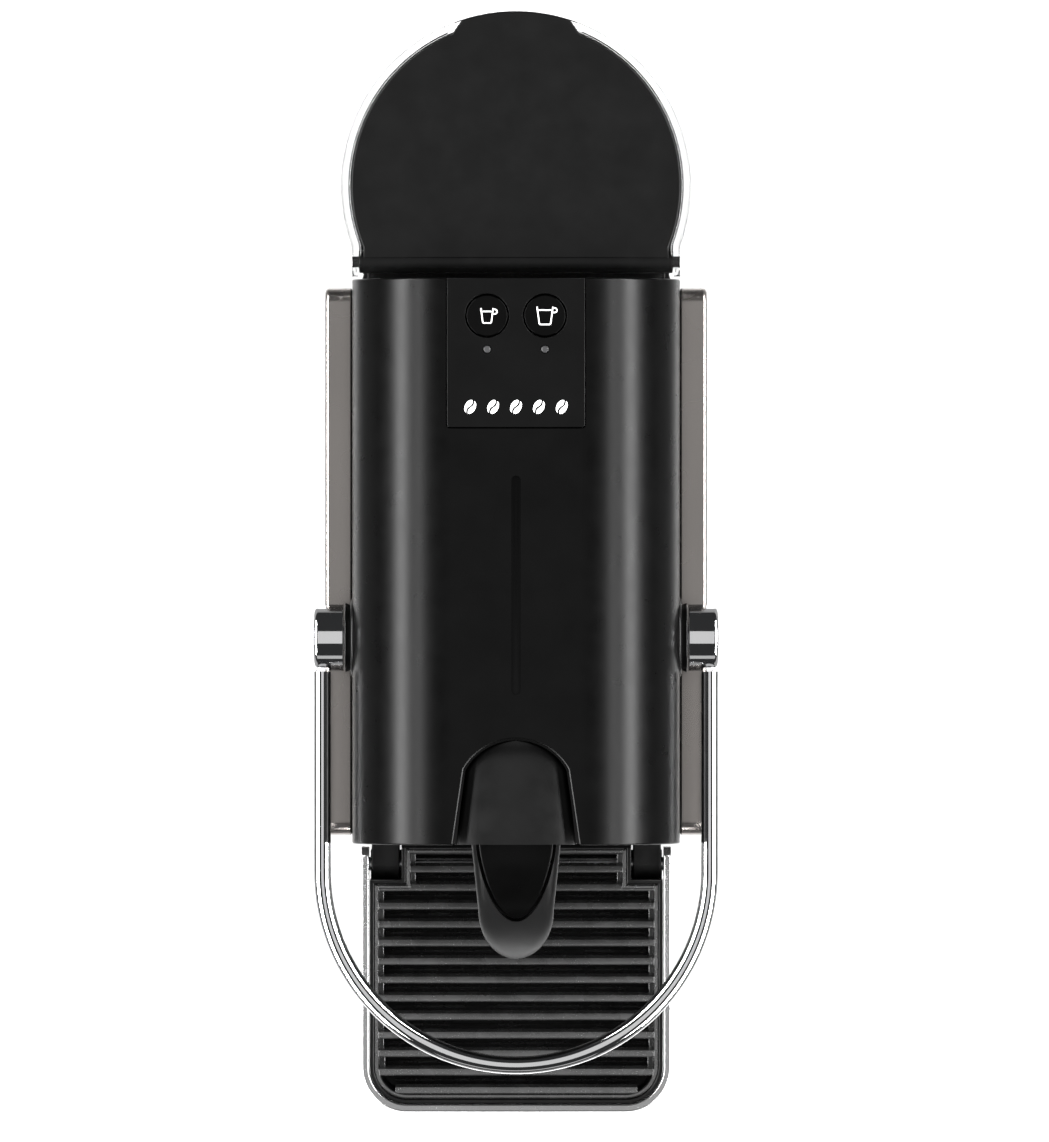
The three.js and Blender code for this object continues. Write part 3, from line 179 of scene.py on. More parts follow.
def inset(outline, distance):
    """A closed counter-clockwise outline moved inwards."""
    moved = []
    for i, point in enumerate(outline):
        here = Vector(point)
        into = (here - Vector(outline[i - 1])).normalized()
        out = (Vector(outline[(i + 1) % len(outline)]) - here).normalized()
        first, second = Vector((-into.y, into.x)), Vector((-out.y, out.x))
        across = (first + second) / max(1 + first.dot(second), 0.3)
        moved.append(tuple(here + across * distance))
    return moved


def skin(name, rings, joined=False):
    """A closed mesh over rings of points: the first and last one are capped, or joined to each other."""
    mesh = bmesh.new()
    rows = [[mesh.verts.new(point) for point in ring] for ring in rings]
    pairs = list(zip(rows, rows[1:]))
    if joined:
        pairs.append((rows[-1], rows[0]))
    for one, other in pairs:
        for i in range(len(one)):
            j = (i + 1) % len(one)
            mesh.faces.new((one[i], one[j], other[j], other[i]))
    if not joined:
        mesh.faces.new(rows[0][::-1])
        mesh.faces.new(rows[-1])
    bmesh.ops.remove_doubles(mesh, verts=mesh.verts, dist=1e-6)
    bmesh.ops.recalc_face_normals(mesh, faces=mesh.faces)
    data = bpy.data.meshes.new(name)
    mesh.to_mesh(data)
    mesh.free()
    made = bpy.data.objects.new(name, data)
    scene.collection.objects.link(made)
    return made


def lying(u, v, w):
    return (u, v, w)


def facing_side(u, v, w):
    return (w, u, v)


def facing_front(u, v, w):
    return (u, w, v)


def slab(name, outline, low, high, low_edge, high_edge, place=lying, steps=5):
    """An outline with thickness, whose lower and upper edges are rounded."""
    rings = []
    turns = [radians(90 * i / steps) for i in range(steps + 1)]
    for turn in turns if low_edge else turns[-1:]:
        ring = inset(outline, low_edge * (1 - sin(turn)))
        rings.append([place(u, v, low + low_edge * (1 - cos(turn))) for u, v in ring])
    for turn in turns if high_edge else turns[:1]:
        ring = inset(outline, high_edge * (1 - cos(turn)))
        rings.append([place(u, v, high - high_edge * (1 - sin(turn))) for u, v in ring])
    return skin(name, rings)


def turned(name, centre, direction, profile, sides=64):
    """A piece made on a lathe: profile is a list of (radius, distance along the axis)."""
    axis = Vector(direction).normalized()
    across = axis.orthogonal().normalized()
    other = axis.cross(across)
    rings = []
    for radius, along in profile:
        spokes = [2 * pi * i / sides for i in range(sides)]
        rings.append([Vector(centre) + axis * along + radius * (cos(a) * across + sin(a) * other)
                      for a in spokes])
    return skin(name, rings)


def round_corner(radius, along, bulge, turn_in, steps=5):
    """Lathe points round an outer edge of radius bulge: turn_in is +1 at the end, -1 at the start."""
    turns = [radians(90 * i / steps) for i in range(steps + 1)]
    points = [(radius - bulge * (1 - cos(t)), along - turn_in * bulge * (1 - sin(t))) for t in turns]
    return points if turn_in > 0 else points[::-1]


def settle(piece, paint, body, slot, *nodes, sharp=38):
    """Shades a piece smoothly, paints it and fixes it to its body in place of its plain solids."""
    piece.data.polygons.foreach_set("use_smooth", [True] * len(piece.data.polygons))
    piece.data.set_sharp_from_angle(angle=radians(sharp))
    even = piece.modifiers.new("even_shading", "WEIGHTED_NORMAL")
    even.keep_sharp = True
    piece.data.materials.clear()
    piece.data.materials.append(paint)
    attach(piece, body)
    if nodes:
        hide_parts(*nodes)
    return piece


def moulded(name, dark, light, grain, height, rough, gloss=0.5):
    """Moulded plastic: a fine spark grain from the tool, with faint flow marks in colour and gloss."""
    paint = bpy.data.materials.new(name)
    tree, surface = nodes_of(paint)
    tree.links.new(tint(tree, speckle(tree, 14 * mm), dark, light), surface.inputs["Base Color"])
    tree.links.new(between(tree, speckle(tree, 6 * mm), *rough), surface.inputs["Roughness"])
    surface.inputs["Specular IOR Level"].default_value = gloss
    relief(tree, surface, speckle(tree, grain, 2.0), height)
    return paint


def repaint(paint, *nodes):
    """Gives the plain solids that stay as they are their finish."""
    for name in nodes:
        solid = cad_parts[name]
        solid.data.materials.clear()
        solid.data.materials.append(paint)


plain_black = moulded("plain_black", (0.002, 0.002, 0.002), (0.003, 0.003, 0.003), 0.6 * mm, 0.012 * mm,
                      (0.28, 0.34), 0.2)
soft_rubber = moulded("soft_rubber", (0.012, 0.012, 0.012), (0.02, 0.02, 0.019), 0.5 * mm, 0.03 * mm,
                      (0.75, 0.9), 0.3)

body_low, body_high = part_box("top_cover")
half_width = body_high.x
front_y, back_y = body_low.y, body_high.y
tank_low, tank_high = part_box("water_tank")
tank_half = -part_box("left_wall")[0].x - 0.1 * mm
tank_radius = tank_high.x
tank_centre_y = tank_high.y - tank_radius


def tank_plan(step_in, front, steps=72):
    """The tank's D in plan, drawn the given distance inside its outer face."""
    radius, half = tank_radius - step_in, tank_half - step_in
    start = -acos(half / radius) * 180 / pi
    return [(-half, front), (half, front)] + arc((0, tank_centre_y), radius, start, 180 - start, steps)


base_low, base_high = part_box("base_pan")
foot_in = 2.9 * mm
shelf_y = back_y - 0.3 * mm
base_plan = ([(-half_width, base_low.y), (half_width, base_low.y), (half_width, shelf_y)]
             + tank_plan(foot_in, back_y)[2:] + [(-half_width, shelf_y)])
base = slab("base_pan", base_plan, base_low.z, base_high.z, 1.2 * mm, 0.3 * mm)
settle(base, plain_black, "body", "black_plastic", "base_pan")

for foot in ("front_left_foot", "front_right_foot", "rear_left_foot", "rear_right_foot"):
    low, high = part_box(foot)
    centre = (low + high) / 2
    tall = high.z - low.z
    radius = (high.x - low.x) / 2
    sole = [(radius * 0.5, 0.35 * mm), (radius * 0.62, 0)]
    rim = [(radius, tall - 0.4 * mm), (radius - 0.3 * mm, tall)]
    pad = turned(foot, (centre.x, centre.y, low.z), (0, 0, 1),
                 sole + round_corner(radius - 0.6 * mm, 0, 0.5 * mm, -1) + rim)
    settle(pad, soft_rubber, "body", "rubber", foot)


def machined(name, dark, light, rough, patch=30 * mm):
    """Bare or plated metal, even in colour, with wide and faint duller patches."""
    paint = bpy.data.materials.new(name)
    tree, surface = nodes_of(paint)
    surface.inputs["Metallic"].default_value = 1.0
    tree.links.new(tint(tree, speckle(tree, patch, 1.0), dark, light), surface.inputs["Base Color"])
    tree.links.new(between(tree, speckle(tree, patch / 2, 1.0), *rough), surface.inputs["Roughness"])
    return paint


bright_steel = machined("bright_steel", (0.5, 0.5, 0.51), (0.6, 0.6, 0.61), (0.2, 0.34))
repaint(bright_steel, "base_screw_1", "base_screw_2", "base_screw_3", "base_screw_4")


# ------------------------------------------------------------------ inner frame
# Side walls, the wall between the two bays, the rear bulkhead and the brewing deck: plain black
# mouldings that slot into the base pan. They show only when the drawer, the tank or the slot is open.
repaint(plain_black, "bay_wall", "rear_bulkhead", "brew_deck")
wall_thick = 2.3 * mm
for side, word in ((-1, "left"), (1, "right")):
    low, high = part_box(f"{word}_wall")
    face = [(front_y, low.z), (high.y, low.z), (high.y, high.z), (front_y, high.z)]
    near, far = sorted((side * (half_width - wall_thick), side * half_width))
    wall = slab(f"{word}_wall", face, near, far, 0.4 * mm, 0.4 * mm, facing_side)
    settle(wall, plain_black, "body", "black_plastic", f"{word}_wall")


# ------------------------------------------------------------------ brewing unit
# Two steel frame plates stand on the deck, with the moulded extraction plate at their front end. The
# cast cage that holds the pod slides between them, pushed by two steel crankshafts on the lever.
cast_metal = machined("cast_metal", (0.36, 0.36, 0.37), (0.46, 0.46, 0.47), (0.42, 0.6), 3 * mm)
tree, surface = nodes_of(cast_metal)
relief(tree, surface, speckle(tree, 0.8 * mm, 2.0), 0.04 * mm)
repaint(cast_metal, "pod_cage")
repaint(plain_black, "extraction_plate")
repaint(bright_steel, "left_crankshaft", "right_crankshaft", "left_frame_plate", "right_frame_plate")


# ------------------------------------------------------------------ pump, heater and hoses
# A vibrating pump on a rubber mount, a cast heater block and a flow meter, joined by milky silicone
# hoses pushed over their nipples. Two circuit boards carry the power parts and the keys.
repaint(cast_metal, "water_pump", "heater_block")
repaint(soft_rubber, "pump_mount")
repaint(plain_black, "flow_meter")

milky_silicone = bpy.data.materials.new("milky_silicone")
tree, surface = nodes_of(milky_silicone)
tree.links.new(tint(tree, speckle(tree, 8 * mm), (0.62, 0.6, 0.54), (0.74, 0.72, 0.66)),
               surface.inputs["Base Color"])
tree.links.new(between(tree, speckle(tree, 3 * mm), 0.35, 0.5), surface.inputs["Roughness"])
surface.inputs["Subsurface Weight"].default_value = 0.3
surface.inputs["Subsurface Radius"].default_value = (0.002, 0.0018, 0.0015)
repaint(milky_silicone, "brew_hose", "suction_hose", "pressure_hose", "tank_feed_hose")

board_green = bpy.data.materials.new("board_green")
tree, surface = nodes_of(board_green)
place = new_node(tree, "ShaderNodeTexCoord")
tracks = new_node(tree, "ShaderNodeTexBrick")
tracks.inputs["Scale"].default_value = 300
tracks.inputs["Color1"].default_value = (0.01, 0.09, 0.035, 1)
tracks.inputs["Color2"].default_value = (0.012, 0.12, 0.045, 1)
tracks.inputs["Mortar"].default_value = (0.03, 0.2, 0.09, 1)
tree.links.new(place.outputs["Object"], tracks.inputs["Vector"])
tree.links.new(tracks.outputs["Color"], surface.inputs["Base Color"])
tree.links.new(between(tree, speckle(tree, 5 * mm), 0.35, 0.5), surface.inputs["Roughness"])
repaint(board_green, "power_board", "keypad_board")


# ------------------------------------------------------------------ top cover
# One long vaulted moulding in satin black, with a fine grain. It drops over the walls. The pod slot,
# the keypad's place and the sight groove are moulded in, and the slot's edge is chamfered.
def carve(piece, tool, how="DIFFERENCE"):
    """Cuts one piece with another and throws the tool away."""
    cut = piece.modifiers.new("cut", "BOOLEAN")
    cut.operation = how
    cut.solver = "EXACT"
    cut.object = tool
    bpy.context.view_layer.update()
    result = bpy.data.meshes.new_from_object(piece.evaluated_get(bpy.context.evaluated_depsgraph_get()))
    piece.modifiers.clear()
    piece.data = result
    bpy.data.objects.remove(tool)


def flared(name, outline, low, high, flare, top, slope=0.6):
    """A cutting tool with a chamfer: straight sides to just under the high face, then opening out."""
    over = 0.2 * mm
    steps = [(0, low), (0, high - flare * slope), (-flare - over, high + over * slope),
             (-flare - over, top)]
    return skin(name, [[(x, y, z) for x, y in inset(outline, step)] for step, z in steps])


satin_black = moulded("satin_black", (0.0006, 0.0006, 0.0006), (0.001, 0.001, 0.001), 0.32 * mm,
                      0.003 * mm, (0.27, 0.31), 0.12)
cover_top = body_high.z
shoulder = 30 * mm
cover_wall = 2.6 * mm


def vault(step_in, bottom, steps=30):
    """The vault's outer line, from the right bottom corner over the top to the left one."""
    half, top, radius = half_width - step_in, cover_top - step_in, shoulder - step_in
    return ([(half, bottom)] + arc((half - radius, top - radius), radius, 0, 90, steps)
            + arc((radius - half, top - radius), radius, 90, 180, steps) + [(-half, bottom)])


section = vault(0, body_low.z) + vault(cover_wall, body_low.z)[::-1]
edge = 0.55 * mm
front_rings, back_rings = [], []
for turn in [radians(90 * i / 4) for i in range(5)]:
    line = inset(section, edge * (1 - cos(turn)))
    front_rings.append([(x, front_y + edge * (1 - sin(turn)), z) for x, z in line])
    back_rings.append([(x, back_y - edge * (1 - sin(turn)), z) for x, z in line])
cover = skin("top_cover", front_rings[::-1] + back_rings)

slot_half, slot_deep, slot_round, slot_turn = 18.4 * mm, 30.8 * mm, 17.4 * mm, 61


def slot_plan(grow, front):
    """The pod slot's arch in plan, run forward to the given line."""
    centre_y = front_y + slot_deep - slot_round
    radius = slot_round + grow
    crown = arc((0, centre_y), radius, 90 - slot_turn, 90 + slot_turn, 40)
    lean = (slot_half + grow - crown[0][0]) / (crown[0][1] - front_y)
    half = slot_half + grow + lean * (front_y - front)
    return [(-half, front), (half, front)] + crown


hollow_z, above_z = 0.222, 0.24
carve(cover, flared("slot_tool", slot_plan(0, front_y - 4 * mm), hollow_z, cover_top, 0.28 * mm, above_z))
keypad_low, keypad_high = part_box("keypad_plate")
seam, hole_round = 0.3 * mm, 1.2 * mm
hole_y = keypad_low.y - seam + hole_round
keypad_hole = ([(x, back_y + 4 * mm) for x in (keypad_high.x + seam, keypad_low.x - seam)]
               + arc((keypad_low.x - seam + hole_round, hole_y), hole_round, 180, 270, 6)
               + arc((keypad_high.x + seam - hole_round, hole_y), hole_round, 270, 360, 6))
carve(cover, flared("keypad_tool", keypad_hole, hollow_z, cover_top, 0.12 * mm, above_z))
groove_half, groove_deep = 1.35 * mm, 1.15 * mm
groove_front, groove_back = front_y + 43.3 * mm, 27.5 * mm
groove_plan = (arc((0, groove_back - groove_half), groove_half, 0, 180, 12)
               + arc((0, groove_front + groove_half), groove_half, 180, 360, 12))
groove_rings = [[(x, y, cover_top - 0.3 * mm - groove_deep * (y - groove_front)
                  / (groove_back - groove_front)) for x, y in groove_plan],
                [(x, y, cover_top + 2 * mm) for x, y in groove_plan]]
carve(cover, skin("groove_tool", groove_rings))
pivot_low, pivot_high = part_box("right_pivot_bush")
pivot_y, pivot_z = (pivot_low.y + pivot_high.y) / 2, (pivot_low.z + pivot_high.z) / 2
bush_radius = (pivot_high.z - pivot_low.z) / 2
carve(cover, turned("bush_tool", (0, pivot_y, pivot_z), (1, 0, 0),
                    [(bush_radius + 0.3 * mm, -60 * mm), (bush_radius + 0.3 * mm, 60 * mm)]))
settle(cover, satin_black, "body", "satin_black_plastic", "top_cover", sharp=30)


# ------------------------------------------------------------------ front fascia
# The upright plate in the vault's front end, in the same satin black. The spout hangs on it, and the
# shutter's front edge shows above it.
def oblong(half, near, far):
    """A rectangle of the given half width, from its near edge to its far one."""
    return [(-half, near), (half, near), (half, far), (-half, far)]


fascia_low, fascia_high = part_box("front_fascia")
fascia_gap = 2.9 * mm
fascia_vault = vault(fascia_gap, fascia_low.z + 1 * mm)
plate_line = [(-fascia_high.x, fascia_low.z), (fascia_high.x, fascia_low.z)] + fascia_vault[1:-1]
fascia = slab("front_fascia", plate_line, front_y + 0.1 * mm, fascia_high.y, 0.4 * mm, 0, facing_front)
shutter_low, shutter_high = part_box("slot_shutter")
gap_half = slot_half + 3 * mm
gap_box = oblong(gap_half, shutter_low.z - 0.3 * mm, above_z)
carve(fascia, slab("gap_tool", gap_box, front_y - 5 * mm, front_y + 8 * mm, 0, 0, facing_front))
settle(fascia, satin_black, "body", "satin_black_plastic", "front_fascia")


# ------------------------------------------------------------------ slot shutter
# The crowned piece that closes the pod slot. It is clipped to the sliding cage and goes back under the
# cover with it when the lever is lifted.
def blade(name, stations, half_at, top_at, under_at, edge, across=14):
    """A tongue-shaped piece along Y: its width, its top and its underside are given at each station."""
    under_share = 0.985
    spread = [sin(radians(-90 + 180 * i / across)) for i in range(across + 1)]
    rings = []
    for y in stations:
        half = half_at(y)
        soft = min(edge, half * 0.9)
        ring = []
        for share in spread:
            x = half * share
            over = max(0, abs(x) - (half - soft))
            drop = soft - sqrt(max(0, soft ** 2 - over ** 2))
            ring.append((x, y, max(top_at(x, y) - drop, under_at(y) + 0.02 * mm)))
        for share in spread[::-1]:
            ring.append((half * share * under_share, y, under_at(y)))
        rings.append(ring)
    return skin(name, rings)


def ease(t):
    """Rises smoothly from 0 to 1."""
    t = min(1, max(0, t))
    return t * t * (3 - 2 * t)


def eased_steps(start, end, steps):
    """Positions from start to end that crowd together towards the end, where the piece is round."""
    return [start + (end - start) * sin(radians(90 * i / steps)) for i in range(steps + 1)]


dome_step = 0.7 * mm
dome_plan = slot_plan(-dome_step, front_y)
dome_back = max(y for x, y in dome_plan)
dome_centre_y = front_y + slot_deep - slot_round
dome_round = slot_round - dome_step
dome_side_x, dome_side_y = dome_plan[2]
dome_front_x = slot_half - dome_step


def dome_half(y):
    """Half width of the shutter: straight sides, then the round of the slot."""
    if y < dome_side_y:
        return dome_front_x + (dome_side_x - dome_front_x) * (y - front_y) / (dome_side_y - front_y)
    return sqrt(max(0, dome_round ** 2 - (y - dome_centre_y) ** 2))


def dome_top(x, y):
    """The shutter's face: crowned across, and dipping a little towards its round back edge."""
    crown, dip = 52 * mm, 1.1 * mm
    return (shutter_high.z - (crown - sqrt(crown ** 2 - x ** 2))
            - dip * ease((y - dome_side_y) / (dome_back - dome_side_y)) ** 2)


dome = blade("slot_shutter", eased_steps(front_y + 0.05 * mm, dome_back, 36), dome_half, dome_top,
             lambda y: shutter_low.z, 1.2 * mm, 28)
shutter_black = moulded("shutter_black", (0.001, 0.001, 0.001), (0.0016, 0.0016, 0.0016), 0.4 * mm,
                        0.006 * mm, (0.28, 0.33), 0.34)
settle(dome, shutter_black, "cage", "satin_black_plastic", "slot_shutter")
apron_plan = slot_plan(1.2 * mm, front_y + 0.4 * mm)
apron = slab("shutter_apron", apron_plan, shutter_low.z, shutter_low.z + 1.3 * mm, 0.2 * mm, 0.2 * mm)
settle(apron, shutter_black, "cage", "satin_black_plastic")


# ------------------------------------------------------------------ keypad
# A separate satin plate let into the cover's rear end, with two polished keys that sink a millimetre
# and a small grey lamp in front of each. A small cup, a large cup and a row of beans are printed on.
keypad_black = moulded("keypad_black", (0.001, 0.001, 0.001), (0.0016, 0.0016, 0.0016), 0.4 * mm,
                       0.005 * mm, (0.24, 0.28), 0.15)
gloss_black = moulded("gloss_black", (0.0004, 0.0004, 0.0004), (0.0008, 0.0008, 0.0008), 3 * mm, 0.0,
                      (0.08, 0.12), 0.1)
plate_top = keypad_high.z
corner = 1.0 * mm
plate_plan = ([(keypad_high.x, back_y - 0.05 * mm), (keypad_low.x, back_y - 0.05 * mm)]
              + arc((keypad_low.x + corner, keypad_low.y + corner), corner, 180, 270, 6)
              + arc((keypad_high.x - corner, keypad_low.y + corner), corner, 270, 360, 6))
plate = slab("keypad_plate", plate_plan, plate_top - 2.5 * mm, plate_top, 0.1 * mm, 0.22 * mm)
key_places = {}
under_plate = 0.22
for word in ("espresso", "lungo"):
    key_low, key_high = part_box(f"{word}_key")
    lamp_low, lamp_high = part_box(f"{word}_lamp")
    key_at = (key_low + key_high) / 2
    lamp_at = (lamp_low + lamp_high) / 2
    key_places[word] = (key_at.x, key_at.y)
    carve(plate, turned("key_tool", (key_at.x, key_at.y, under_plate), (0, 0, 1),
                        [(6.35 * mm, 0), (6.35 * mm, plate_top - under_plate - 0.2 * mm),
                         (6.75 * mm, plate_top - under_plate + 0.2 * mm)], 72))
    carve(plate, turned("lamp_tool", (lamp_at.x, lamp_at.y, under_plate), (0, 0, 1),
                        [(1.22 * mm, 0), (1.22 * mm, 0.02)], 32))
    key_radius, key_top = 6.05 * mm, key_high.z
    key = turned(f"{word}_key", (key_at.x, key_at.y, 0), (0, 0, 1),
                 [(7.0 * mm, key_low.z), (7.0 * mm, key_low.z + 2.1 * mm),
                  (key_radius, key_low.z + 2.3 * mm)]
                 + round_corner(key_radius, key_top, 0.45 * mm, 1)
                 + [(4.6 * mm, key_top - 0.01 * mm), (2.6 * mm, key_top - 0.03 * mm),
                    (0.6 * mm, key_top - 0.04 * mm)], 72)
    settle(key, gloss_black, f"{word}_button", "gloss_black_plastic", f"{word}_key")
    lens_paint = moulded(f"{word}_lens", (0.022, 0.022, 0.023), (0.03, 0.03, 0.031), 0.5 * mm, 0.002 * mm,
                         (0.25, 0.35))
    lens = turned(f"{word}_lamp", (lamp_at.x, lamp_at.y, 0), (0, 0, 1),
                  [(1.1 * mm, lamp_low.z)]
                  + round_corner(1.1 * mm, plate_top - 0.05 * mm, 0.4 * mm, 1), 32)
    settle(lens, lens_paint, "body", "lamp_lens", f"{word}_lamp")
settle(plate, keypad_black, "body", "gloss_black_plastic", "keypad_plate")

sign_white = moulded("sign_white", (0.86, 0.86, 0.86), (0.93, 0.93, 0.93), 0.2 * mm, 0.003 * mm,
                     (0.5, 0.6))


def stroke(name, line, width, z, height=0.08 * mm):
    """A printed line of even width along the points of an open line."""
    sides = ([], [])
    for i, point in enumerate(line):
        here = Vector(point)
        before = Vector(line[max(i - 1, 0)])
        after = Vector(line[min(i + 1, len(line) - 1)])
        ahead = (after - before).normalized()
        off = Vector((-ahead.y, ahead.x)) * width / 2
        sides[0].append(tuple(here - off))
        sides[1].append(tuple(here + off))
    ring = sides[0] + sides[1][::-1]
    return skin(name, [[(x, y, z) for x, y in ring], [(x, y, z + height) for x, y in ring]])


def join_pieces(name, parts):
    """Several meshes as one piece."""
    whole = bmesh.new()
    for part in parts:
        whole.from_mesh(part.data)
        bpy.data.objects.remove(part)
    data = bpy.data.meshes.new(name)
    whole.to_mesh(data)
    whole.free()
    made = bpy.data.objects.new(name, data)
    scene.collection.objects.link(made)
    return made


def cup_sign(name, centre, width, tall, z):
    """A tapered cup with a small handle high on its right and the line of the drink in it."""
    x, y = centre
    top, foot, bend, ink = width / 2, width * 0.36, 0.45 * mm, 0.34 * mm
    high, low = y + tall / 2, y - tall / 2
    outline = ([(x - top, high)] + arc((x - foot + bend, low + bend), bend, 188, 270, 6)
               + arc((x + foot - bend, low + bend), bend, 270, 352, 6) + [(x + top, high)])
    level = high - 0.95 * mm
    handle = ([(x + top - 0.1 * mm, high - 0.35 * mm)]
              + arc((x + top + 0.5 * mm, high - 1.0 * mm), 0.65 * mm, 90, -90, 10)
              + [(x + top - 0.2 * mm, high - 1.65 * mm)])
    parts = [stroke(f"{name}_{part}", line, ink, z) for part, line in (
        ("side", outline), ("level", [(x - top + 0.5 * mm, level), (x + top - 0.5 * mm, level)]),
        ("handle", handle))]
    return join_pieces(name, parts)


sign_z = key_top - 0.05 * mm
for word, width, tall in (("espresso", 3.5 * mm, 4.3 * mm), ("lungo", 4.6 * mm, 5.1 * mm)):
    x, y = key_places[word]
    sign = cup_sign(f"{word}_sign", (x, y), width, tall, sign_z)
    settle(sign, sign_white, f"{word}_button", "gloss_black_plastic")

beans = []
bean_y = keypad_low.y + 5.9 * mm
for number in range(5):
    x = (number - 2) * 6.6 * mm
    lean = radians(62)
    for half, turn in ((1, 0), (-1, 180)):
        rim = [(2.0 * mm * cos(a), half * (0.28 * mm + 1.25 * mm * sin(a)))
               for a in [pi * i / 14 for i in range(15)]]
        crease = [(2.0 * mm - 4.0 * mm * i / 10, half * 0.28 * mm + 0.34 * mm * sin(2 * pi * i / 10))
                  for i in range(1, 10)]
        loop = rim + [(-px, py) for px, py in crease]
        loop = [(x + px * cos(lean) - py * sin(lean), bean_y + px * sin(lean) + py * cos(lean))
                for px, py in loop]
        beans.append(skin(f"bean_{number}_{turn}", [[(px, py, plate_top) for px, py in loop],
                                                    [(px, py, plate_top + 0.02 * mm) for px, py in loop]]))
mark = join_pieces("bean_row", beans)
settle(mark, sign_white, "body", "gloss_black_plastic")


# ------------------------------------------------------------------ side panels
# A hollow die-cast panel on each side, satin plated in a warm titanium grey. It hooks into the side wall
# and stands 8 mm proud, with soft outer edges and rounded corners.
titanium = machined("titanium", (0.32, 0.298, 0.283), (0.333, 0.31, 0.294), (0.26, 0.28))
for side, word in ((-1, "left"), (1, "right")):
    low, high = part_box(f"{word}_side_panel")
    corner = 4.4 * mm
    outline = (arc((high.y - corner, low.z + corner), corner, 270, 360, 10)
               + arc((high.y - corner, high.z - corner), corner, 0, 90, 10)
               + arc((low.y + corner, high.z - corner), corner, 90, 180, 10)
               + arc((low.y + corner, low.z + corner), corner, 180, 270, 10))
    near, far = sorted((abs(low.x), abs(high.x)))
    panel = slab(f"{word}_side_panel", outline, near, far, 0.5 * mm, 1.3 * mm,
                 lambda u, v, w: (side * w, u, v), 8)
    settle(panel, titanium, "body", "titanium_panel", f"{word}_side_panel")


# ------------------------------------------------------------------ lever
# A chromed zinc bow bent into a U, with a round hub at each end. It swings on two shafts and drives the
# pod cage. A black bush stands between each hub and the cover.
chrome = machined("chrome", (0.88, 0.88, 0.89), (0.92, 0.92, 0.925), (0.05, 0.07))
bow_low, bow_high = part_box("lever_handle")
hub_low, hub_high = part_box("right_lever_hub")
hub_radius = (hub_high.z - hub_low.z) / 2
bar_wide, bar_tall = 5.0 * mm, bow_high.z - bow_low.z
bend = bow_high.x - bar_wide / 2
bend_y = bow_low.y + bend + bar_wide / 2
start_y = pivot_y - hub_radius - 0.1 * mm
path = [((-bend, start_y + (bend_y - start_y) * i / 8), (-1, 0)) for i in range(8)]
for i in range(97):
    turn = radians(180 + 180 * i / 96)
    path.append(((bend * cos(turn), bend_y + bend * sin(turn)), (cos(turn), sin(turn))))
path += [((bend, bend_y + (start_y - bend_y) * i / 8), (1, 0)) for i in range(1, 9)]
bar_round, bar_sides, squareness = bar_wide / 2, 56, 2.2
bar_section = []
for i in range(bar_sides):
    turn = radians(i * 360 / bar_sides + 360 / (2 * bar_sides))
    out, up = cos(turn), sin(turn)
    squarer = (abs(out) ** squareness + abs(up) ** squareness) ** (-1 / squareness)
    bar_section.append((bar_round * out * squarer,
                        bar_round * up * squarer + (bar_tall / 2 - bar_round) * (1 if up > 0 else -1)))
bow = skin("lever_handle", [[(x + out_x * u, y + out_y * u, pivot_z + v) for u, v in bar_section]
                            for (x, y), (out_x, out_y) in path])
settle(bow, chrome, "lever", "chrome", "lever_handle")

for side, word in ((-1, "left"), (1, "right")):
    inner, outer = hub_low.x, hub_high.x
    hub = turned(f"{word}_lever_hub", (0, pivot_y, pivot_z), (side, 0, 0),
                 round_corner(hub_radius, inner, 0.35 * mm, -1)
                 + round_corner(hub_radius, outer, 1.3 * mm, 1)
                 + [(hub_radius - 2.2 * mm, outer), (hub_radius - 2.5 * mm, outer - 0.25 * mm),
                    (2 * mm, outer - 0.25 * mm)], 96)
    # Kept out of sheens: its mirror image of a lamp would lie as a bright crescent on the cover.
    hub.visible_glossy = False
    settle(hub, chrome, "lever", "chrome", f"{word}_lever_hub")
    bush = turned(f"{word}_pivot_bush", (0, pivot_y, pivot_z), (side, 0, 0),
                  [(bush_radius, pivot_low.x), (bush_radius, half_width - 2.2 * mm),
                   (bush_radius + 1.5 * mm, half_width - 2 * mm)]
                  + round_corner(bush_radius + 1.5 * mm, half_width + 0.5 * mm, 0.8 * mm, 1)
                  + [(bush_radius - 0.5 * mm, half_width + 0.55 * mm), (bush_radius - 0.5 * mm,
                                                                       half_width + 0.8 * mm)]
                  + round_corner(bush_radius, pivot_high.x, 0.4 * mm, 1), 96)
    settle(bush, plain_black, "body", "black_plastic", f"{word}_pivot_bush")


# ------------------------------------------------------------------ coffee spout
# A black moulded beak screwed to the fascia, with a darker tongue snapped into its top. The coffee runs
# inside it and falls from the mouth under its tip.
spout_low, spout_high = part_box("coffee_spout")
tongue_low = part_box("spout_tongue")[0]
spout_root, spout_tip = spout_high.y, spout_low.y
beak_fall, mouth_rise = 43 * mm, 25 * mm
spout_black = moulded("spout_black", (0.009, 0.009, 0.009), (0.012, 0.012, 0.012), 0.5 * mm, 0.006 * mm,
                      (0.34, 0.4), 0.085)


def beak_half(y, root_half, nose_half, nose_long, tip):
    """Half width of the beak: straight sides that close in, then an elliptical nose."""
    if y > tip + nose_long:
        return nose_half + (root_half - nose_half) * (y - tip - nose_long) / (spout_root - tip - nose_long)
    return nose_half * sqrt(max(0, 1 - ((tip + nose_long - y) / nose_long) ** 2))


def tongue_half_at(y, root_half, tip):
    """Half width of the tongue: one curve from the fascia to its tip."""
    share = max(0, (spout_root - y) / (spout_root - tip))
    return root_half * sqrt(max(0, 1 - share ** 1.45))


def beak_top(x, y):
    """The beak's back: level at the fascia and falling away to its tip."""
    share = max(0, (spout_root - y) / (spout_root - spout_tip))
    return spout_high.z - beak_fall * (1 - sqrt(max(0, 1 - (0.985 * share) ** 2.3)))


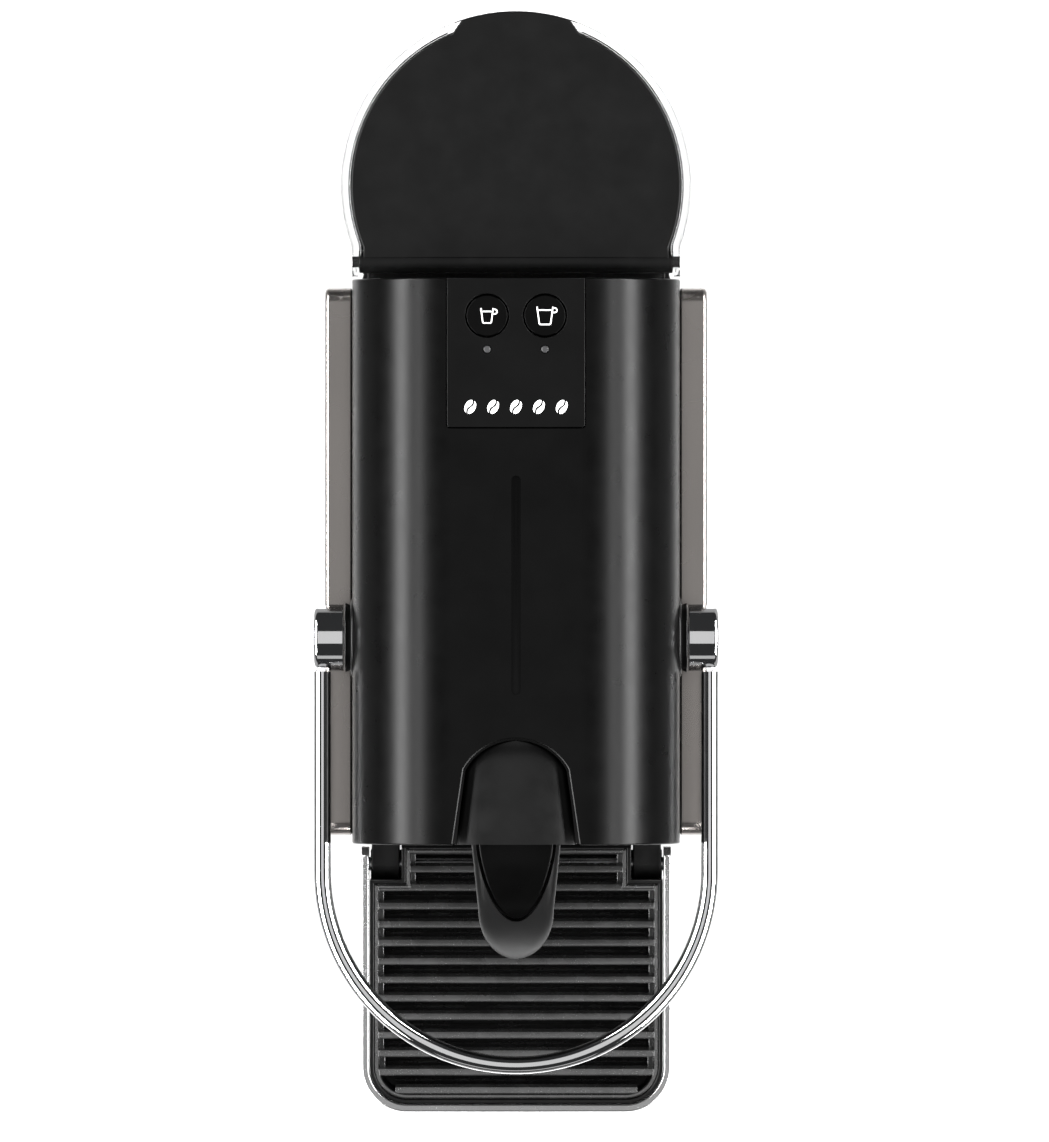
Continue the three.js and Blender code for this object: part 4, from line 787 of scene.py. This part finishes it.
def beak_under(y):
    """The beak's underside: highest at the fascia, level from half way to the mouth."""
    share = (spout_root - y) / (spout_root - spout_tip)
    return spout_low.z + mouth_rise * max(0, 1 - share / 0.55) ** 1.6


spout = blade("coffee_spout", eased_steps(spout_root, spout_tip + 0.02 * mm, 56),
              lambda y: beak_half(y, 13 * mm, 11 * mm, 14.7 * mm, spout_tip), beak_top, beak_under,
              3.2 * mm, 32)
tongue_tip, tongue_crown = tongue_low.y + 2.6 * mm, 6
seat_tip, above_beak = tongue_tip - 1.0 * mm, 0.2
tongue_tool = blade("tongue_tool", eased_steps(spout_root + 2 * mm, seat_tip, 40),
                    lambda y: tongue_half_at(y, 11.9 * mm, seat_tip), lambda x, y: above_beak,
                    lambda y: beak_top(0, y) - 3.4 * mm, 0.01 * mm, 24)
carve(spout, tongue_tool)
mouth = turned("mouth_tool", (0, spout_tip + 10 * mm, 0), (0, 0, 1),
               [(4.4 * mm, spout_low.z - 5 * mm), (4.4 * mm, spout_low.z + 12 * mm)], 40)
carve(spout, mouth)
settle(spout, spout_black, "body", "black_plastic", "coffee_spout")
tongue = blade("spout_tongue", eased_steps(spout_root, tongue_tip, 40),
               lambda y: tongue_half_at(y, 11.1 * mm, tongue_tip),
               lambda x, y: beak_top(x, y) - 0.5 * mm - tongue_crown * x * x,
               lambda y: beak_top(0, y) - 3.1 * mm,
               0.6 * mm, 28)
settle(tongue, satin_black, "body", "satin_black_plastic", "spout_tongue")


# ------------------------------------------------------------------ pull-out module
# The drawer below the spout: its satin front plate with the two hinge knuckles of the cup tray, the drip
# base and the bin that catches used pods.
module_low, module_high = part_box("module_front")
front_plate = oblong(module_high.x, module_low.z, module_high.z)
drawer = slab("module_front", front_plate, front_y, front_y + 2.7 * mm, 0.5 * mm, 0.1 * mm, facing_front)
settle(drawer, satin_black, "module", "satin_black_plastic", "module_front")
pin_low, pin_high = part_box("tray_hinge_pin")
pin_y, pin_z = (pin_low.y + pin_high.y) / 2, (pin_low.z + pin_high.z) / 2
knuckle_round = 4.3 * mm
for side, word in ((-1, "left"), (1, "right")):
    outline = ([(front_y + 0.4 * mm, pin_z - knuckle_round), (front_y + 0.4 * mm, pin_z + knuckle_round)]
               + arc((pin_y, pin_z), knuckle_round, 90, 270, 24))
    knuckle = slab(f"{word}_tray_knuckle", outline, 34.9 * mm, 43.35 * mm, 0.5 * mm, 0.5 * mm,
                   lambda u, v, w: (side * w, u, v))
    settle(knuckle, plain_black, "module", "satin_black_plastic")
repaint(plain_black, "pod_bin", "drip_base")


# ------------------------------------------------------------------ cup tray
# A folding tray: a black plastic dish inside a satin metal band, on a steel pin. A polished grid of
# slats lifts out of it, and the drops fall through to the dish.
band_low, band_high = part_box("tray_band")
dish_low, dish_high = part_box("cup_tray")
grid_low, grid_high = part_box("drip_grid")
band_half, band_thick, band_round = band_high.x, 2.1 * mm, 13.5 * mm
band_front = band_low.y
arm_back = pin_y + 5 * mm


def tray_swing_tool(name):
    """What the tray keeps near its pin, so that its upper back edge clears the drawer as it folds up."""
    swing, tool_foot = 8.3 * mm, 0.01
    outline = (arc((pin_y, pin_z), swing, 0, 90, 20)
               + [(band_front - 5 * mm, pin_z + swing), (band_front - 5 * mm, tool_foot),
                  (pin_y + swing, tool_foot)])
    return slab(name, outline, -60 * mm, 60 * mm, 0, 0, facing_side)


inner_round = band_round - band_thick
band_line = ([(-band_half + band_thick, arm_back), (-band_half, arm_back)]
             + arc((-band_half + band_round, band_front + band_round), band_round, 180, 270, 20)
             + arc((band_half - band_round, band_front + band_round), band_round, 270, 360, 20)
             + [(band_half, arm_back), (band_half - band_thick, arm_back)]
             + arc((band_half - band_round, band_front + band_round), inner_round, 360, 270, 20)
             + arc((-band_half + band_round, band_front + band_round), inner_round, 270, 180, 20))
band = slab("tray_band", band_line, band_low.z, band_high.z, 0.45 * mm, 0.45 * mm)
carve(band, tray_swing_tool("swing_tool"), "INTERSECT")
silver = machined("silver", (0.41, 0.41, 0.41), (0.44, 0.44, 0.44), (0.26, 0.28))
settle(band, silver, "tray", "silver_band", "tray_band")
pin = turned("tray_hinge_pin", (0, pin_y, pin_z), (1, 0, 0),
             round_corner(2 * mm, pin_low.x, 0.3 * mm, -1)
             + round_corner(2 * mm, pin_high.x, 0.3 * mm, 1), 40)
settle(pin, bright_steel, "tray", "steel", "tray_hinge_pin")

dish_half, dish_front = dish_high.x, dish_low.y
tongue_half = 34.35 * mm
waist_y = pin_y - 4.7 * mm
dish_back = pin_y + 5.9 * mm
dish_round = band_round - band_thick - 0.3 * mm
dish_line = (arc((-dish_half + dish_round, dish_front + dish_round), dish_round, 180, 270, 16)
             + arc((dish_half - dish_round, dish_front + dish_round), dish_round, 270, 360, 16)
             + [(dish_half, waist_y), (tongue_half, waist_y), (tongue_half, dish_back),
                (-tongue_half, dish_back), (-tongue_half, waist_y), (-dish_half, waist_y)])
ledge_z, well_z, well_floor = 37.1 * mm, 24 * mm, 22 * mm
dish_steps = [(1.2, dish_low.z), (0.35, dish_low.z + 0.35 * mm), (0, dish_low.z + 1.2 * mm),
              (0, dish_high.z - 0.35 * mm), (0.1, dish_high.z - 0.1 * mm), (0.35, dish_high.z),
              (0.95, dish_high.z), (1.15, dish_high.z - 0.15 * mm), (1.2, dish_high.z - 0.4 * mm),
              (1.2, ledge_z), (2.8, ledge_z), (2.8, well_z), (3.6, well_floor)]
dish = skin("cup_tray", [[(x, y, z) for x, y in inset(dish_line, step * mm)] for step, z in dish_steps])
carve(dish, tray_swing_tool("swing_tool"), "INTERSECT")
guards = []
for side in (-1, 1):
    plan = [(tongue_half - 1 * mm, waist_y - 1 * mm), (dish_half - 0.1 * mm, waist_y - 1 * mm),
            (dish_half - 0.1 * mm, pin_y + 4 * mm), (tongue_half - 1 * mm, pin_y + 4 * mm)]
    plan = plan if side > 0 else [(-x, y) for x, y in plan][::-1]
    guards.append(slab(f"guard_{side}", plan, dish_low.z + 0.5 * mm, dish_low.z + 1.7 * mm, 0.2 * mm,
                       0.2 * mm))
dish = join_pieces("cup_tray", [dish] + guards)
settle(dish, plain_black, "tray", "black_plastic", "cup_tray")

grid_black = moulded("grid_black", (0.0015, 0.0015, 0.0015), (0.0025, 0.0025, 0.0025), 0.6 * mm,
                     0.001 * mm, (0.24, 0.3), 1.0)
nodes_of(grid_black)[1].inputs["IOR"].default_value = 1.85
grid_line = inset(dish_line, 1.5 * mm)
rim_steps = [(0.2, grid_low.z), (0, grid_low.z + 0.2 * mm), (0, grid_high.z - 0.4 * mm),
             (0.4, grid_high.z), (1.0, grid_high.z), (1.3, grid_high.z - 0.4 * mm),
             (1.3, grid_low.z + 0.2 * mm), (1.1, grid_low.z)]
rim = skin("grid_rim", [[(x, y, z) for x, y in inset(grid_line, step * mm)] for step, z in rim_steps],
           joined=True)
slats = []
pitch = 5.52 * mm
first_y = dish_front + 4.3 * mm
count = int((dish_back - 1.5 * mm - first_y) / pitch) + 1
slat_top = grid_high.z - 0.3 * mm
field = inset(grid_line, 0.9 * mm)
field_half = max(x for x, y in field)
field_round = dish_round - 2.4 * mm
field_front = min(y for x, y in field)


def reach_at(y):
    """Half length of a slat: to the rim, shorter in the round front corners and between the knuckles."""
    if y > waist_y - 2.5 * mm:
        return tongue_half - 2.4 * mm
    into = field_front + field_round - y
    if into > 0:
        return field_half - field_round + sqrt(max(0, field_round ** 2 - into ** 2))
    return field_half


for number in range(count):
    y = first_y + number * pitch
    half = reach_at(y - 1.2 * mm)
    back, front = y + 1.45 * mm, y - 1.45 * mm
    ridge, lip = back - 0.9 * mm, front + 0.4 * mm
    profile = ([(front, grid_low.z + 0.6 * mm), (back, grid_low.z + 0.6 * mm), (back, slat_top - 1.9 * mm)]
               + [(ridge + (lip - ridge) * i / 6, slat_top - 0.2 * mm * (1 - i / 6) ** 1.5)
                  for i in range(6)]
               + arc((lip, slat_top - 0.4 * mm), 0.4 * mm, 90, 180, 5))
    slats.append(slab(f"slat_{number}", profile, -half, half, 0.15 * mm, 0.15 * mm, facing_side, 2))
    if number < count - 1:
        gap_y = y + pitch / 2
        rib = [(gap_y - 0.4 * mm, grid_low.z + 0.2 * mm), (gap_y + 0.4 * mm, grid_low.z + 0.2 * mm),
               (gap_y, grid_low.z + 1.9 * mm)]
        half = min(half, reach_at(gap_y + 2 * mm))
        slats.append(slab(f"rib_{number}", rib, -half, half, 0, 0, facing_side))
        for side in (-1, 1) if number else ():
            lug = [(gap_y - 1.9 * mm, grid_low.z + 0.8 * mm), (gap_y + 1.9 * mm, grid_low.z + 0.8 * mm),
                   (gap_y + 1.9 * mm, slat_top - 1.6 * mm), (gap_y - 1.9 * mm, slat_top - 2.6 * mm)]
            slats.append(slab(f"lug_{number}_{side}", lug, half - 1.8 * mm, half - 0.1 * mm, 0.2 * mm,
                              0.2 * mm, lambda u, v, w: (side * w, u, v), 2))
grid = join_pieces("drip_grid", [rim] + slats)
settle(grid, grid_black, "tray", "gloss_black_plastic", "drip_grid")


# ------------------------------------------------------------------ tank base and cord gland
# The black foot that the tank stands on, closed round the coupling. A short gland low at its back is
# where the mains cord enters.
foot_low, foot_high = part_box("tank_base")
foot_plan = tank_plan(foot_in, foot_low.y)
tank_foot = slab("tank_base", foot_plan, foot_low.z, foot_high.z, 0.3 * mm, 0.8 * mm)
carve(tank_foot, turned("well_tool", (0, tank_centre_y, 0), (0, 0, 1),
                        [(9.2 * mm, foot_high.z - 9 * mm), (9.2 * mm, foot_high.z + 2 * mm)], 48))
gland_low, gland_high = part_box("cord_gland")
gland_z = (gland_low.z + gland_high.z) / 2
settle(tank_foot, plain_black, "body", "black_plastic", "tank_base")
repaint(plain_black, "tank_coupling")
gland_flange = (gland_high.x - gland_low.x) / 2
flange_y = foot_high.y + 0.1 * mm
gland = turned("cord_gland", (0, flange_y, gland_z), (0, 1, 0),
               [(gland_flange, -1 * mm)] + round_corner(gland_flange, gland_high.y - flange_y, 0.5 * mm, 1)
               + [(2.9 * mm, gland_high.y - flange_y), (2.8 * mm, -5 * mm)], 48)
settle(gland, soft_rubber, "body", "rubber", "cord_gland")


# ------------------------------------------------------------------ water tank
# A clear moulded tank with a D-shaped plan and a flange round its mouth. It lifts straight off its foot.
# Its front wall is cut down for the lid's hinge, its back rim for the lid's tab. A valve closes its floor.
clear = bpy.data.materials.new("clear_tank")
tree, surface = nodes_of(clear)
surface.inputs["Base Color"].default_value = (0.985, 0.99, 0.99, 1)
surface.inputs["Transmission Weight"].default_value = 1.0
surface.inputs["IOR"].default_value = 1.49
tree.links.new(between(tree, speckle(tree, 12 * mm), 0.015, 0.04), surface.inputs["Roughness"])
relief(tree, surface, speckle(tree, 9 * mm, 1.0), 0.01 * mm)
tank_wall, tank_floor = 1.8 * mm, 2.5 * mm
rim_z, sole_z = tank_high.z, tank_low.z
flange_low = rim_z - 3.6 * mm
wall_in = 2.4
inner_sole = sole_z + tank_floor
tank_steps = [(wall_in + 3.0, sole_z), (wall_in + 1.2, sole_z + 0.4 * mm),
              (wall_in + 0.4, sole_z + 1.2 * mm), (wall_in, sole_z + 3 * mm),
              (wall_in, flange_low - 0.6 * mm), (wall_in - 0.5, flange_low), (0.3, flange_low),
              (0, flange_low + 0.3 * mm), (0, rim_z - 0.5 * mm), (0.15, rim_z - 0.15 * mm),
              (0.5, rim_z), (2.1, rim_z), (2.45, rim_z - 0.15 * mm), (2.6, rim_z - 0.5 * mm),
              (2.6, rim_z - 2.8 * mm), (wall_in + 1.8, rim_z - 3.0 * mm),
              (wall_in + 1.8, inner_sole + 2 * mm), (wall_in + 2.3, inner_sole + 0.6 * mm),
              (wall_in + 3.8, inner_sole)]
tank = skin("water_tank", [[(x, y, z) for x, y in inset(tank_plan(0, tank_low.y), step * mm)]
                           for step, z in tank_steps])
lid_low, lid_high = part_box("tank_lid")
barrel_radius = 3.2 * mm
barrel_y, barrel_z = lid_low.y + barrel_radius, lid_low.z + barrel_radius
notch_half = tank_half - tank_wall
notch = oblong(notch_half, tank_low.y - 3 * mm, tank_low.y + tank_wall + 0.6 * mm)
carve(tank, slab("front_notch", notch, barrel_z - barrel_radius - 0.5 * mm, above_z, 0, 0))
tab_half = 17.2 * mm
tab_notch = oblong(tab_half + 0.4 * mm, tank_centre_y + 30 * mm, tank_high.y + 4 * mm)
lid_thick = 2.5 * mm
carve(tank, slab("back_notch", tab_notch, lid_high.z - lid_thick - 0.3 * mm, above_z, 0, 0))
settle(tank, clear, "tank", "clear_plastic", "water_tank")

valve_low, valve_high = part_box("tank_valve")
valve = turned("tank_valve", (0, tank_centre_y, 0), (0, 0, 1),
               round_corner(5.7 * mm, valve_low.z, 0.6 * mm, -1)
               + [(5.7 * mm, sole_z - 0.3 * mm), (4.5 * mm, sole_z - 0.3 * mm),
                  (4.5 * mm, inner_sole + 0.3 * mm), (7.5 * mm, inner_sole + 0.4 * mm)]
               + round_corner(7.5 * mm, inner_sole + 2.4 * mm, 0.5 * mm, 1)
               + round_corner(4.5 * mm, valve_high.z, 0.5 * mm, 1), 48)
settle(valve, plain_black, "tank", "black_plastic", "tank_valve")


# ------------------------------------------------------------------ tank lid
# A matte black plate that drops inside the tank's rim, hinged on a barrel whose two pins snap into the
# clear ears. The tab at its back reaches the rim for the finger.
lid_black = moulded("lid_black", (0.0018, 0.0018, 0.0018), (0.0026, 0.0026, 0.0026), 0.35 * mm, 0.01 * mm,
                    (0.34, 0.4), 0.15)
lid_radius = tank_radius - tank_wall - 1.1 * mm
barrel_half = notch_half - 0.3 * mm
lid_edge_half = barrel_half - 1.2 * mm
lid_start = -acos(lid_edge_half / lid_radius) * 180 / pi
tab_turn = asin(tab_half / lid_radius) * 180 / pi
tab_edge = asin((tab_half - 1.6 * mm) / (tank_radius - 0.1 * mm)) * 180 / pi
tab_gap = 1.6
lid_line = ([(-lid_edge_half, barrel_y + 1 * mm), (lid_edge_half, barrel_y + 1 * mm)]
            + arc((0, tank_centre_y), lid_radius, lid_start, 90 - tab_turn - tab_gap, 60)
            + arc((0, tank_centre_y), tank_radius - 0.1 * mm, 90 - tab_edge, 90 + tab_edge, 24)
            + arc((0, tank_centre_y), lid_radius, 90 + tab_turn + tab_gap, 180 - lid_start, 60))
plate_piece = slab("lid_plate", lid_line, lid_high.z - lid_thick, lid_high.z, 0.3 * mm, 0.5 * mm)
barrel = turned("lid_barrel", (0, barrel_y, barrel_z), (1, 0, 0),
                round_corner(barrel_radius, -barrel_half, 0.4 * mm, -1)
                + round_corner(barrel_radius, barrel_half, 0.4 * mm, 1), 48)
pins = turned("lid_pins", (0, barrel_y, barrel_z), (1, 0, 0),
              round_corner(1.6 * mm, -tank_half + 0.15 * mm, 0.3 * mm, -1)
              + round_corner(1.6 * mm, tank_half - 0.15 * mm, 0.3 * mm, 1), 32)
lid = join_pieces("tank_lid", [plate_piece, barrel, pins])
settle(lid, lid_black, "lid", "satin_black_plastic", "tank_lid")
